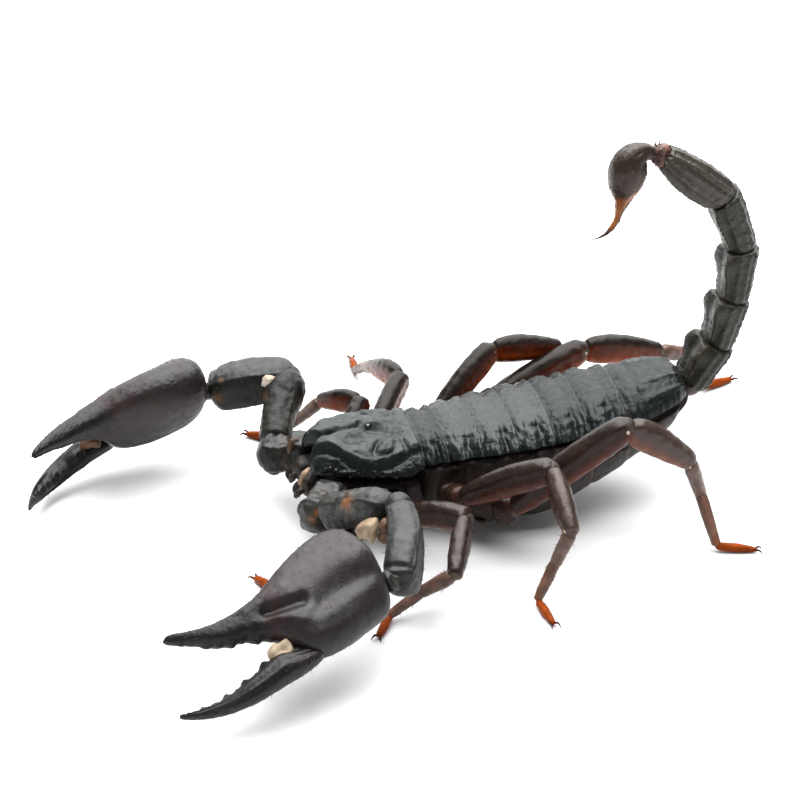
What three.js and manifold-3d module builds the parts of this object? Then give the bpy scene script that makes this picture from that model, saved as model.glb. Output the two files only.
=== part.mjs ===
// A forest scorpion, life size, standing still with its claws open and its tail raised.
// Millimetres. +Z is up, the head looks along -Y, and the animal's left side is +X.
// The floor is z = 0, and the origin lies on it under the middle of the animal.

import * as THREE from 'three';
import { mergeVertices } from 'three/addons/utils/BufferGeometryUtils.js';
import Module from 'manifold-3d';

const wasm = await Module();
wasm.setup();

// ---------------------------------------------------------------- driving dimensions

const jointGap = 0.3; // clearance between neighbouring plates and segments
const headFront = -31; // tips of the two frontal lobes, along Y
const headRear = -16; // rear margin of the carapace
const trunkStart = -8.6; // where the coxae end and the belly plates begin
const coxaInset = 1.6; // how far the coxal plate lies inside the carapace's side margins
const tergiteRears = [-12.6, -7.9, -3, 1.9, 6.7, 12.2, 22]; // rear margins of the seven back plates
const sterniteRears = [-3.5, 2, 7.2, 12.6, 22.2]; // rear margins of the five belly plates
const centreShift = new THREE.Vector3(-0.95, 14.53, 0); // from the animal's own frame to the part's origin

const shell = new THREE.Color(0x24282b);
const chelaBrown = new THREE.Color(0x3a3133);
const legBrown = new THREE.Color(0x3b231b);
const footOrange = new THREE.Color(0xb0562a);
const bellyBrown = new THREE.Color(0x2b2120);
const tailOlive = new THREE.Color(0x34312c);
const stingMaroon = new THREE.Color(0x4a2a20);
const eyeBlack = new THREE.Color(0x08080a);

// ---------------------------------------------------------------- helpers

const vec = (x, y, z) => new THREE.Vector3(x, y, z);
const up = vec(0, 0, 1);

// A smooth curve through a few [place, value] pairs, held level beyond both ends.
function curveThrough(pairs) {
  const points = pairs.map(([place, value]) => new THREE.Vector2(place, value));
  return (place) => {
    const last = points.length - 1;
    if (place <= points[0].x) return points[0].y;
    if (place >= points[last].x) return points[last].y;
    const k = points.findIndex((point) => point.x > place) - 1;
    const span = points[k + 1].x - points[k].x;
    const t = (place - points[k].x) / span;
    const slope = (i) => {
      const before = points[Math.max(i - 1, 0)];
      const after = points[Math.min(i + 1, last)];
      return ((after.y - before.y) / (after.x - before.x)) * span;
    };
    const a = points[k].y;
    const b = points[k + 1].y;
    const s = slope(k);
    const e = slope(k + 1);
    const t2 = t * t;
    const t3 = t2 * t;
    return a * (2 * t3 - 3 * t2 + 1) + s * (t3 - 2 * t2 + t) + b * (3 * t2 - 2 * t3) + e * (t3 - t2);
  };
}

// A closed body through rings. Each ring has a centre, the direction the body runs in (along), its
// upward direction (top), a half-width, a rise above and a fall below the centre, and a squareness:
// 2 is an ellipse and more is boxier.
function loft(rings, sides) {
  const steps = rings.length - 1;
  const geometry = new THREE.CylinderGeometry(1, 1, steps, sides, steps);
  const place = geometry.attributes.position;
  for (let i = 0; i < place.count; i += 1) {
    const ring = rings[Math.round(steps / 2 - place.getY(i))];
    const top = ring.top.clone().addScaledVector(ring.along, -ring.top.dot(ring.along)).normalize();
    const side = top.clone().cross(ring.along);
    const x = place.getX(i);
    const z = place.getZ(i);
    const point = ring.centre.clone();
    if (Math.hypot(x, z) < 0.5) {
      point.addScaledVector(top, (ring.rise - ring.fall) / 2);
    } else {
      const round = (value) => Math.sign(value) * Math.abs(value) ** (2 / (ring.square ?? 2));
      point.addScaledVector(side, round(x) * ring.width);
      point.addScaledVector(top, round(z) * (z > 0 ? ring.rise : ring.fall));
    }
    place.setXYZ(i, point.x, point.y, point.z);
  }
  return closed(geometry);
}

function closed(geometry) {
  geometry.deleteAttribute('normal');
  geometry.deleteAttribute('uv');
  const merged = mergeVertices(geometry, 1e-4);
  merged.computeVertexNormals();
  return merged;
}

// Lays everything that would sink into the floor flat on it.
function restOnFloor(geometry, height) {
  const place = geometry.attributes.position;
  for (let i = 0; i < place.count; i += 1) {
    place.setZ(i, Math.max(place.getZ(i), -height));
  }
  return geometry;
}

function toSolid(geometry) {
  const triVerts = new Uint32Array(geometry.index.array);
  const vertProperties = new Float32Array(geometry.attributes.position.array);
  return new wasm.Manifold(new wasm.Mesh({ numProp: 3, vertProperties, triVerts }));
}

function cutFrom(geometry, tools) {
  let solid = toSolid(geometry);
  for (const tool of tools) {
    solid = solid.subtract(toSolid(tool));
  }
  const mesh = solid.getMesh();
  const result = new THREE.BufferGeometry();
  result.setAttribute('position', new THREE.BufferAttribute(mesh.vertProperties, 3));
  result.setIndex(new THREE.BufferAttribute(mesh.triVerts, 1));
  result.computeVertexNormals();
  return result;
}

function piece(name, geometry, color, roughness = 0.35) {
  const material = new THREE.MeshStandardMaterial({ color, roughness, metalness: 0 });
  const mesh = new THREE.Mesh(geometry, material);
  mesh.name = name;
  return mesh;
}

// Turns a piece whose length runs along +Y and whose back faces +Z from one joint to the next.
function layBetween(mesh, from, to, top = up) {
  const y = to.clone().sub(from).normalize();
  const z = top.clone().addScaledVector(y, -top.dot(y)).normalize();
  const x = y.clone().cross(z);
  mesh.quaternion.setFromRotationMatrix(new THREE.Matrix4().makeBasis(x, y, z));
  mesh.position.copy(from);
  return mesh;
}

// One limb segment along +Y: it starts clear of the joint before it, swells, and ends in a ball
// that is centred on the joint after it.
function limbSegment({
  length, width, height, startBall, endBall, startSize = 0.7, endSize = 0.86, square = 2.2, sides = 8,
}) {
  const start = startBall + jointGap;
  const along = vec(0, 1, 0);
  const ring = (y, w, h) => ({ centre: vec(0, y, 0), along, top: up, width: w, rise: h, fall: h, square });
  const span = length - start;
  const ball = (angle) => {
    const across = endBall * Math.cos(angle);
    return ring(length + endBall * Math.sin(angle), across, across);
  };
  return loft([
    ring(start, width * startSize * 0.8, height * startSize * 0.8),
    ring(start + span * 0.12, width * startSize, height * startSize),
    ring(start + span * 0.45, width, height),
    ring(start + span * 0.78, width * 0.97, height * 0.97),
    ring(start + span * 0.93, width * endSize, height * endSize),
    ball(0),
    ball(0.75),
    ball(1.3),
  ], sides);
}

// Rings along a bent path, each square to the path's own direction there.
function ringsAlong(path, stations, top) {
  return stations.map(({ at, width, rise, fall = rise, square = 2, lift = 0, shift = 0 }) => {
    const centre = path.getPointAt(at);
    const along = path.getTangentAt(at);
    const side = top.clone().cross(along).normalize();
    centre.addScaledVector(along.clone().cross(side).normalize(), lift);
    centre.addScaledVector(side, shift);
    return { centre, along, top, width, rise, fall, square };
  });
}

// ---------------------------------------------------------------- trunk outline

// Height of the back on the midline, half-width, height of the side margin, and height of the belly.
const backHeight = curveThrough([
  [-31, 13], [-28, 15], [-24, 15.4], [-20, 15.2], [-16, 14.5], [-9, 15.1], [-2, 15.7], [4, 16.5], [9, 17.3],
  [14, 18.2], [19, 18.8], [22, 18.6],
]);
const bodyWidth = curveThrough([
  [-31, 3.9], [-28.5, 5.4], [-24, 6.7], [-19, 7.4], [-16, 7.4], [-11, 7.9], [-5, 8.7], [3, 9], [8, 8.6],
  [13, 7.4], [18, 6], [22.4, 4],
]);
const marginHeight = curveThrough([
  [-31, 10.6], [-24, 10.5], [-16, 10.5], [-10, 11.2], [-3, 11.8], [3, 12.4], [8, 13.2], [14, 14.4], [22, 16],
]);
const bellyHeight = curveThrough([
  [-30, 6], [-24, 4.8], [-16, 3.4], [-11, 2.8], [-8.4, 2.4], [-5, 1.2], [-1, 1], [2, 1.9], [5, 3.9], [10, 6.3],
  [14, 8.6], [18, 11], [22.4, 13.6],
]);

// How far the soft flanks stand out past the back plates.
const flankBulge = curveThrough([[-10, 0.3], [-4, 0.9], [3, 1], [10, 0.7], [18, 0.4]]);

// The belly is boxy where it sags between the legs and rounder towards the tail.
const bellySquareness = curveThrough([[-8, 3.4], [2, 3.3], [8, 2.6], [16, 2.4]]);

function backRing(y, lift = 0, inset = 0) {
  const margin = marginHeight(y);
  return {
    centre: vec(0, y, margin),
    along: vec(0, 1, 0),
    top: up,
    width: bodyWidth(y) - inset,
    rise: backHeight(y) - margin + lift,
    fall: 0.5,
    square: 2.3,
  };
}

function tergite(front, rear) {
  const overlap = 0.35; // the rear edge stands a little above the plate behind
  const length = rear - front;
  const rings = [0, 0.15, 0.85, 1].map((t) => {
    const y = front + jointGap / 2 + t * (length - jointGap);
    return backRing(y, overlap * (t - 0.6), t === 0 || t === 1 ? 0.35 : 0);
  });
  return loft(rings, 20);
}

function sternite(front, rear) {
  const rings = [0, 0.15, 0.85, 1].map((t) => {
    const y = front + jointGap / 2 + t * (rear - front - jointGap);
    const ceiling = marginHeight(y) - 0.5 - jointGap;
    const inset = t === 0 || t === 1 ? 0.4 : 0;
    return {
      centre: vec(0, y, ceiling),
      along: vec(0, 1, 0),
      top: up,
      width: bodyWidth(y) + flankBulge(y) - inset,
      rise: 0,
      fall: ceiling - bellyHeight(y) - inset,
      square: bellySquareness(y),
    };
  });
  return loft(rings, 16);
}

// ---------------------------------------------------------------- head

const eyeRadius = 0.55;
const eyePlace = (side) => vec(side * 0.95, -22.4, backHeight(-22.4) + 0.35);

function carapace() {
  const along = vec(0, 1, 0);
  const length = headRear - headFront;
  const rings = [0, 0.04, 0.14, 0.3, 0.46, 0.56, 0.66, 0.82, 0.95, 1].map((t) => {
    const y = headFront + t * (length - jointGap / 2);
    const margin = marginHeight(y);
    const edge = t === 0 ? 0.6 : 1;
    return {
      centre: vec(0, y, margin),
      along,
      top: up,
      width: bodyWidth(y) * edge,
      rise: (backHeight(y) - margin) * edge,
      fall: 1,
      square: 2.4,
    };
  });
  const geometry = loft(rings, 28);
  const place = geometry.attributes.position;
  for (let i = 0; i < place.count; i += 1) {
    const x = place.getX(i);
    const y = place.getY(i);
    const z = place.getZ(i);
    const onTop = z > marginHeight(y) + 0.8 ? 1 : 0;
    const furrow = -0.9 * Math.exp(-((x / 1.1) ** 2)) * Math.exp(-(((y + 29) / 4) ** 2));
    const tubercle = 0.75 * Math.exp(-((x / 1.3) ** 2)) * Math.exp(-(((y + 22) / 1.9) ** 2));
    place.setZ(i, z + onTop * (furrow + tubercle));
    const notch = 1.4 * Math.exp(-((x / 1.5) ** 2)) * Math.exp(-(((y - headFront) / 1.2) ** 2));
    place.setY(i, y + notch);
  }
  const sockets = [1, -1].map((side) => {
    const socket = new THREE.SphereGeometry(eyeRadius + 0.15, 8, 6);
    socket.translate(...eyePlace(side).toArray());
    return closed(socket);
  });
  return cutFrom(geometry, sockets);
}

function eye() {
  return closed(new THREE.SphereGeometry(eyeRadius, 8, 6));
}

// A chelicera along -Y: a stout base with a hooked pincer.
function chelicera() {
  const path = new THREE.CatmullRomCurve3([vec(0, 0, 0), vec(0, -1.8, 0), vec(0, -3.2, -0.5), vec(0, -3.9, -1.9)]);
  return loft(ringsAlong(path, [
    { at: 0, width: 1.1, rise: 1.1 },
    { at: 0.1, width: 1.5, rise: 1.5 },
    { at: 0.45, width: 1.6, rise: 1.6 },
    { at: 0.68, width: 1.35, rise: 1.3 },
    { at: 0.85, width: 0.8, rise: 0.8 },
    { at: 1, width: 0.3, rise: 0.3 },
  ], up), 10);
}

function coxalPlate() {
  const rear = trunkStart - jointGap / 2;
  const stations = [[-29, 0.75], [-27.6, 1], [-22, 1], [-16, 1], [-9.6, 1], [rear, 0.85]];
  const rings = stations.map(([y, scale]) => {
    const underHead = y < headRear + 1;
    const ceiling = marginHeight(y) - (underHead ? 1.3 : 0.6) - jointGap;
    return {
      centre: vec(0, y, ceiling - 2.6),
      along: vec(0, 1, 0),
      top: up,
      width: (bodyWidth(y) - coxaInset) * scale,
      rise: 2.6,
      fall: (ceiling - 2.6 - bellyHeight(y) + 0.2) * scale,
      square: 3,
    };
  });
  return loft(rings, 16);
}

// A comb-shaped sense organ, flat under the belly, with its teeth along the rear edge.
function pectine(sign) {
  const along = vec(sign, 0, 0);
  const rings = [[0.5, 0.5], [1.4, 0.8], [5.6, 0.8], [7.2, 0.3]].map(([x, width]) => ({
    centre: vec(sign * x, -8.8 + x * 0.16, 1.85),
    along,
    top: up,
    width,
    rise: 0.3,
    fall: 0.3,
    square: 4,
  }));
  return loft(rings, 8);
}

// ---------------------------------------------------------------- pose

// Joints of the walking legs: hip, knee, end of patella, end of tibia, end of basitarsus, toe tip.
const legPose = {
  left: [
    [[7.6, -24, 7.4], [13.6, -27.6, 5.8], [18, -33.4, 6.2],
      [17.2, -37.6, 3.4], [14.6, -38.8, 1.1], [11.4, -40.4, 0.6]],
    [[8.8, -19.4, 7.6], [17.6, -12.9, 10], [26.6, -16.7, 7.2],
      [24.4, -20.6, 3.6], [25, -25, 1.1], [28.5, -27.4, 0.6]],
    [[10.1, -11.8, 8], [17.5, -1.3, 15.5], [26.5, -1, 11.5],
      [24.4, -2.4, 5.5], [26.1, -5.2, 1.2], [31, -4.4, 0.6]],
    [[12.2, -5.3, 6.5], [16, 9.4, 20], [16.4, 18.4, 13.8],
      [14.4, 20.9, 6.9], [18.9, 22, 1.2], [20.4, 27.2, 0.6]],
  ],
  right: [
    [[-7.6, -24, 7.6], [-12.2, -20.4, 11.4], [-18.6, -24.8, 8.8],
      [-21.6, -28, 4], [-23.4, -31.2, 1.1], [-25.8, -34.4, 0.6]],
    [[-8.8, -19.4, 7.6], [-17.9, -13.4, 11.8], [-28, -14.8, 8.1],
      [-34.8, -14.8, 4], [-39.3, -15.2, 1.1], [-44, -14.8, 0.6]],
    [[-10.1, -11.8, 8], [-15.2, -1, 16.4], [-17.8, 9.8, 14],
      [-18.4, 11.6, 6], [-19.6, 15.4, 1.2], [-21.4, 20, 0.6]],
    [[-12.2, -5.3, 6.5], [-15.7, 12.7, 14.6], [-18.2, 25.2, 11.4],
      [-21.4, 32, 7.2], [-22.8, 34, 1.2], [-24.7, 39.2, 0.6]],
  ],
};
const legGirth = [1.65, 1.85, 1.95, 2.1]; // stoutness of each pair, from front to back

// Joints of the palps, the way the hand points (aim) and the side its fixed finger lies on (across).
// The fingertips bend towards the underside by curl, and closing turns the movable finger inwards.
const palpPose = {
  left: {
    root: [6.4, -28.8, 8.6], hip: [9.8, -31.4, 8.3], elbow: [20.6, -22.8, 14.9],
    wrist: [33, -25.8, 12.2], aim: [41.8, -55.6, 9.4], across: [-0.84, -0.29, 0.46],
    curl: 4.4, movableCurl: 4.4, closing: 0,
  },
  right: {
    root: [-5.5, -29.4, 8.6], hip: [-7.2, -34, 7.9], elbow: [-18.6, -30.5, 13.2],
    wrist: [-21.9, -39.9, 10.6], aim: [-13.9, -68.8, 9.7], across: [0.515, 0.115, 0.85],
    curl: 5.8, movableCurl: 9, closing: 0.3,
  },
};

// Joints of the tail: its base, four joints between segments and the joint of the telson. The last
// six places are the telson's own line, from its neck through the bulb to the tip of the sting.
const tailPose = [
  [0, 23.5, 16], [0.2, 27, 21.8], [0.6, 28.8, 28.7], [0.2, 29.8, 36.2], [0.3, 26.9, 44.2], [0.2, 17.9, 51.3],
  [0.2, 17.3, 51.6], [0.2, 15.1, 52], [0.2, 13.3, 49.8], [0.3, 12.4, 44.6], [0.6, 10.9, 41.9], [0.9, 9.1, 40.4],
];

// ---------------------------------------------------------------- legs

function leg(group, side, number) {
  const joints = legPose[side][number].map((place) => vec(...place));
  const [hip, knee, patellaEnd, tibiaEnd, ankle, toe] = joints;
  const girth = legGirth[number];
  const sign = side === 'left' ? 1 : -1;
  const name = `leg_${side}_${number + 1}`;

  // The coxa and trochanter run out from under the carapace and join the femur at the hip.
  const trunkSide = hip.y > trunkStart ? flankBulge(hip.y) + 0.2 : -coxaInset;
  const root = vec(sign * (bodyWidth(hip.y) + trunkSide + jointGap + 0.2), hip.y - 0.8, hip.z - 1.2);
  const kneeBall = girth * 0.78;
  const thigh = new THREE.CurvePath();
  thigh.add(new THREE.LineCurve3(root, hip));
  thigh.add(new THREE.LineCurve3(hip, knee));
  const hipAt = root.distanceTo(hip) / thigh.getLength();
  const along = (t) => hipAt + (1 - hipAt) * t;
  const rings = ringsAlong(thigh, [
    { at: 0, width: girth * 0.75, rise: girth * 0.8 },
    { at: hipAt * 0.6, width: girth * 0.85, rise: girth * 0.9 },
    { at: along(0.1), width: girth * 0.72, rise: girth * 0.85 },
    { at: along(0.45), width: girth * 0.78, rise: girth * 1.08 },
    { at: along(0.85), width: girth * 0.74, rise: girth * 1 },
    { at: 1, width: kneeBall, rise: kneeBall },
  ], up);
  const direction = knee.clone().sub(hip).normalize();
  for (const angle of [0.8, 1.3]) {
    rings.push({
      centre: knee.clone().addScaledVector(direction, kneeBall * Math.sin(angle)),
      along: direction,
      top: up,
      width: kneeBall * Math.cos(angle),
      rise: kneeBall * Math.cos(angle),
      fall: kneeBall * Math.cos(angle),
    });
  }
  group.add(piece(`${name}_femur`, loft(rings, 8), legBrown));

  const patellaBall = girth * 0.6;
  const patella = piece(`${name}_patella`, limbSegment({
    length: knee.distanceTo(patellaEnd),
    width: girth * 0.76,
    height: girth * 0.94,
    startBall: kneeBall,
    endBall: patellaBall,
  }), legBrown);
  group.add(layBetween(patella, knee, patellaEnd));

  // Tibia, basitarsus and telotarsus, down to the sole on the floor.
  const start = tibiaEnd.clone().sub(patellaEnd).normalize().multiplyScalar(patellaBall + jointGap).add(patellaEnd);
  const lowerLeg = new THREE.CurvePath();
  lowerLeg.add(new THREE.LineCurve3(start, tibiaEnd));
  lowerLeg.add(new THREE.LineCurve3(tibiaEnd, ankle));
  lowerLeg.add(new THREE.LineCurve3(ankle, toe));
  const whole = lowerLeg.getLength();
  const tibiaAt = start.distanceTo(tibiaEnd) / whole;
  const ankleAt = tibiaAt + tibiaEnd.distanceTo(ankle) / whole;
  const toward = toe.clone().sub(ankle).setZ(0).normalize();
  const stations = [
    { at: 0, width: girth * 0.42, rise: girth * 0.45 },
    { at: tibiaAt * 0.2, width: girth * 0.52, rise: girth * 0.58 },
    { at: tibiaAt * 0.65, width: girth * 0.5, rise: girth * 0.56 },
    { at: tibiaAt * 0.97, width: girth * 0.42, rise: girth * 0.44 },
    { at: tibiaAt + (ankleAt - tibiaAt) * 0.3, width: girth * 0.38, rise: girth * 0.4 },
    { at: tibiaAt + (ankleAt - tibiaAt) * 0.8, width: girth * 0.33, rise: girth * 0.35 },
    { at: ankleAt + (1 - ankleAt) * 0.12, width: 0.5, rise: 0.6, fall: 1.3 },
    { at: ankleAt + (1 - ankleAt) * 0.6, width: 0.55, rise: 0.6, fall: 1 },
    { at: 1, width: 0.42, rise: 0.4, fall: 0.9 },
  ];
  const footRings = stations.map((station) => {
    const top = station.at > ankleAt ? up : toward;
    const [ring] = ringsAlong(lowerLeg, [station], top);
    if (station.at > ankleAt) ring.along = toward;
    return ring;
  });
  const foot = loft(footRings, 8);
  restOnFloor(foot, 0);
  foot.translate(-patellaEnd.x, -patellaEnd.y, -patellaEnd.z);
  const footMesh = piece(`${name}_foot`, foot, footOrange);
  footMesh.position.copy(patellaEnd);
  group.add(footMesh);
}

// ---------------------------------------------------------------- claws

// The hand lies in its own plane: Y runs from the wrist to the fingertips and X towards the fixed
// finger. Each station gives its two edges in X and its half-thickness in Z.
const wristBall = 1.4;
const curlStart = 13.3; // where the fingers begin to bend towards the underside
const curlReach = 19.2; // from there to the fingertips
const fingerRoot = 17.5; // beyond this the rings follow the finger's own line
const fingerJoint = vec(-5.5, 17, 0); // where the movable finger turns
const handStations = [
  [2.1, -1.4, 5, 1.6], [2.6, -2.6, 7, 2.5], [3.5, -3.9, 8.6, 3.2], [4.9, -4.5, 9.4, 3.6], [7.1, -5.1, 9.5, 3.8],
  [9.9, -5.8, 8.8, 3.8], [13.7, -6, 7.2, 3.5], [15.6, -4.9, 6.2, 3.1], [16.9, -3.2, 5.5, 2.7],
  [18.6, -1.2, 4.8, 2.2], [21.5, 0.2, 4.2, 1.8], [24.8, 1.2, 4.2, 1.5], [27.5, 3.1, 5, 1], [29.5, 4.4, 5.8, 0.6],
  [30.2, 5, 5.7, 0.35],
];
const movableStations = [
  [16.2, -6.8, -5.5, 1.1], [17.5, -7.1, -4.1, 1.6], [19.3, -7.3, -3.5, 1.8], [21, -7.5, -4, 1.7],
  [23.9, -7.7, -4.8, 1.5], [27.3, -7.3, -5.4, 1.1], [30.2, -6.3, -5, 0.75], [31.8, -5.3, -4.5, 0.5],
  [32.6, -4.8, -4.1, 0.35],
];

function flatLoft(stations, curl, sides) {
  const rings = stations.map(([y, low, high, thick], index) => {
    const before = stations[Math.max(index - 1, 0)];
    const after = stations[Math.min(index + 1, stations.length - 1)];
    const drop = -curl * Math.max(0, (y - curlStart) / curlReach) ** 2;
    const slope = (after[1] + after[2] - before[1] - before[2]) / 2 / (after[0] - before[0]);
    return {
      centre: vec((low + high) / 2, y, drop),
      along: vec(y > fingerRoot ? slope : 0, 1, 0).normalize(),
      top: up,
      width: (high - low) / 2,
      rise: thick,
      fall: thick,
      square: 2.2,
    };
  });
  return loft(rings, sides);
}

function palp(group, side) {
  const pose = palpPose[side];
  const [root, hip, elbow, wrist, aim] = ['root', 'hip', 'elbow', 'wrist', 'aim'].map((key) => vec(...pose[key]));
  const hipBall = 2.9;
  const elbowBall = 2.6;

  const trochanter = piece(`palp_${side}_trochanter`, limbSegment({
    length: root.distanceTo(hip),
    width: 2.9,
    height: 2.9,
    startBall: -jointGap,
    endBall: hipBall,
    sides: 10,
  }), shell);
  group.add(layBetween(trochanter, root, hip));

  const femur = piece(`palp_${side}_femur`, limbSegment({
    length: hip.distanceTo(elbow),
    width: 2.7,
    height: 2.7,
    startBall: hipBall,
    endBall: elbowBall,
    startSize: 0.8,
    square: 2.8,
    sides: 10,
  }), shell);
  group.add(layBetween(femur, hip, elbow));

  const patella = piece(`palp_${side}_patella`, limbSegment({
    length: elbow.distanceTo(wrist),
    width: 3.1,
    height: 2.9,
    startBall: elbowBall,
    endBall: wristBall,
    startSize: 0.8,
    square: 2.6,
    sides: 10,
  }), shell);
  group.add(layBetween(patella, elbow, wrist));

  // The fixed finger is on the inner side, so the right hand is the left one mirrored.
  const mirror = side === 'left' ? 1 : -1;
  const across = vec(...pose.across);
  const forward = aim.clone().sub(wrist).normalize();
  const back = across.clone().cross(forward).multiplyScalar(mirror).normalize();
  const place = (stations, curl, name, sides) => {
    const sided = stations.map(([y, low, high, thick]) => (
      mirror > 0 ? [y, low, high, thick] : [y, -high, -low, thick]
    ));
    return piece(name, flatLoft(sided, curl, sides), chelaBrown, 0.45);
  };
  const hand = place(handStations, pose.curl, `palp_${side}_hand`, 14);
  group.add(layBetween(hand, wrist, aim, back));

  const finger = place(movableStations, pose.movableCurl, `palp_${side}_movable_finger`, 12);
  const turn = vec(mirror * fingerJoint.x, fingerJoint.y, 0);
  finger.geometry.translate(-turn.x, -turn.y, 0);
  finger.geometry.rotateZ(-mirror * pose.closing);
  finger.geometry.translate(turn.x, turn.y, 0);
  group.add(layBetween(finger, wrist, aim, back));
}

// ---------------------------------------------------------------- tail

// Rings of a tail segment: the place along it, its girth, and its height on the back (inner) side.
// The first four rise to a crest before their rear joint. The fifth is stout and tapers.
const ringedProfile = (crest) => [
  [0, 0.74, 0.78], [0.07, 0.86, 0.86], [0.3, 0.96, 0.95], [0.6, 1, 1], [0.84, 1.06, crest], [0.95, 1.04, crest],
  [1, 0.9, 0.9],
];
const lastProfile = [
  [0, 0.8, 0.82], [0.07, 0.92, 1], [0.3, 1, 1.18], [0.55, 0.98, 1.15], [0.8, 0.84, 0.9], [0.94, 0.7, 0.7],
  [1, 0.55, 0.55],
];

// A tail segment between two joints, its ends cut square to the bend so that neighbours meet flat.
function tailSegment(index, width, height, profile) {
  const joints = tailPose.map((place) => vec(...place));
  const from = joints[index];
  const to = joints[index + 1];
  const here = to.clone().sub(from).normalize();
  const before = index === 0 ? here.clone() : from.clone().sub(joints[index - 1]).normalize();
  const after = index === 4 ? here.clone() : joints[index + 2].clone().sub(to).normalize();
  const startNormal = before.add(here).normalize();
  const endNormal = after.add(here).normalize();
  const length = from.distanceTo(to);
  const rings = profile.map(([t, size, back]) => {
    const y = jointGap / 2 + t * (length - jointGap);
    return {
      centre: from.clone().addScaledVector(here, y),
      along: startNormal.clone().lerp(endNormal, t).normalize(),
      top: vec(0, -1, 0.05),
      width: width * size,
      rise: height * back,
      fall: height * size,
      square: 2.8,
    };
  });
  return { geometry: loft(rings, 12), origin: from };
}

function tail(group) {
  const segments = [
    [3, 2.5, ringedProfile(1.7)], [2.8, 2.4, ringedProfile(1.35)], [2.65, 2.35, ringedProfile(1.35)],
    [2.5, 2.35, ringedProfile(1.3)], [2.5, 2.5, lastProfile],
  ];
  segments.forEach(([width, height, profile], index) => {
    const { geometry, origin } = tailSegment(index, width, height, profile);
    geometry.translate(-origin.x, -origin.y, -origin.z);
    const mesh = piece(`tail_${index + 1}`, geometry, tailOlive);
    mesh.position.copy(origin);
    group.add(mesh);
  });

  const [joint, ...bulbLine] = tailPose.slice(5).map((place) => vec(...place));
  const path = new THREE.CatmullRomCurve3(bulbLine);
  const back = vec(1, 0, 0);
  const rings = ringsAlong(path, [
    { at: 0, width: 0.9, rise: 0.9 },
    { at: 0.12, width: 1.1, rise: 1.1 },
    { at: 0.19, width: 1.9, rise: 1.9 },
    { at: 0.28, width: 2.5, rise: 2.5 },
    { at: 0.4, width: 2.6, rise: 2.65 },
    { at: 0.52, width: 2.2, rise: 2.2 },
    { at: 0.62, width: 1.6, rise: 1.5 },
    { at: 0.71, width: 1.05, rise: 1 },
    { at: 0.8, width: 0.7, rise: 0.7 },
    { at: 0.9, width: 0.45, rise: 0.45 },
    { at: 1, width: 0.25, rise: 0.25 },
  ], back);
  const telson = loft(rings, 12);
  telson.translate(-joint.x, -joint.y, -joint.z);
  const mesh = piece('telson', telson, stingMaroon, 0.3);
  mesh.position.copy(joint);
  group.add(mesh);
}

// ---------------------------------------------------------------- assembly

const scorpion = new THREE.Group();
const animal = new THREE.Group();
animal.position.copy(centreShift);
scorpion.add(animal);

animal.add(piece('carapace', carapace(), shell));
for (const [side, sign] of [['left', 1], ['right', -1]]) {
  const eyeMesh = piece(`eye_${side}`, eye(), eyeBlack, 0.1);
  eyeMesh.position.copy(eyePlace(sign));
  animal.add(eyeMesh);
  const jaw = piece(`chelicera_${side}`, chelicera(), bellyBrown);
  jaw.position.set(sign * 1.85, -29.4, 9.2 - 1.6);
  animal.add(jaw);
  animal.add(piece(`pectine_${side}`, pectine(sign), bellyBrown));
}
animal.add(piece('coxal_plate', coxalPlate(), bellyBrown));

tergiteRears.forEach((rear, index) => {
  const front = index === 0 ? headRear : tergiteRears[index - 1];
  animal.add(piece(`tergite_${index + 1}`, tergite(front, rear), shell));
});
sterniteRears.forEach((rear, index) => {
  const front = index === 0 ? trunkStart : sterniteRears[index - 1];
  animal.add(piece(`sternite_${index + 3}`, sternite(front, rear), bellyBrown));
});

for (const side of ['left', 'right']) {
  palp(animal, side);
  for (let number = 0; number < 4; number += 1) {
    leg(animal, side, number);
  }
}
tail(animal);

export default scorpion;
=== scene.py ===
import math
import random

import bmesh
import bpy
from mathutils import Matrix, Vector, noise


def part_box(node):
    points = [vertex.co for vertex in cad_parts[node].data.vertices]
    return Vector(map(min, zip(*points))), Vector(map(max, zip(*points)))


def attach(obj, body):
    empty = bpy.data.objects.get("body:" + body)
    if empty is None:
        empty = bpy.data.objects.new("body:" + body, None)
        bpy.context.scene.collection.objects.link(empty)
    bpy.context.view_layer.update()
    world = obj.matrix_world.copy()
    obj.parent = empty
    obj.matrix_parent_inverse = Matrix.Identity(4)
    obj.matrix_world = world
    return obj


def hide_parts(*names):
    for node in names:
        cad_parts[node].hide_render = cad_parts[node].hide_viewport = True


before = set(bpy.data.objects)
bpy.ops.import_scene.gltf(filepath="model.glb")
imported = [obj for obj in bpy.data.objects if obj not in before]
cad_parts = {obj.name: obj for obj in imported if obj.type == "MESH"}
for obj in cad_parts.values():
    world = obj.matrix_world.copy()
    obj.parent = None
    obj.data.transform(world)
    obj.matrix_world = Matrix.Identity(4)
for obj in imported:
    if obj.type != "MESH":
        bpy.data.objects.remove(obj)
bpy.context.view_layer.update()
print("frame loaded:", len(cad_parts), "nodes")

mm = 0.001
plateLow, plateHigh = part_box("tergite_7")
# from the animal's measure to the frame
shift = Vector(((plateLow.x + plateHigh.x) / 2, plateHigh.y - 21.85 * mm, 0.0))
up = Vector((0, 0, 1))


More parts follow.
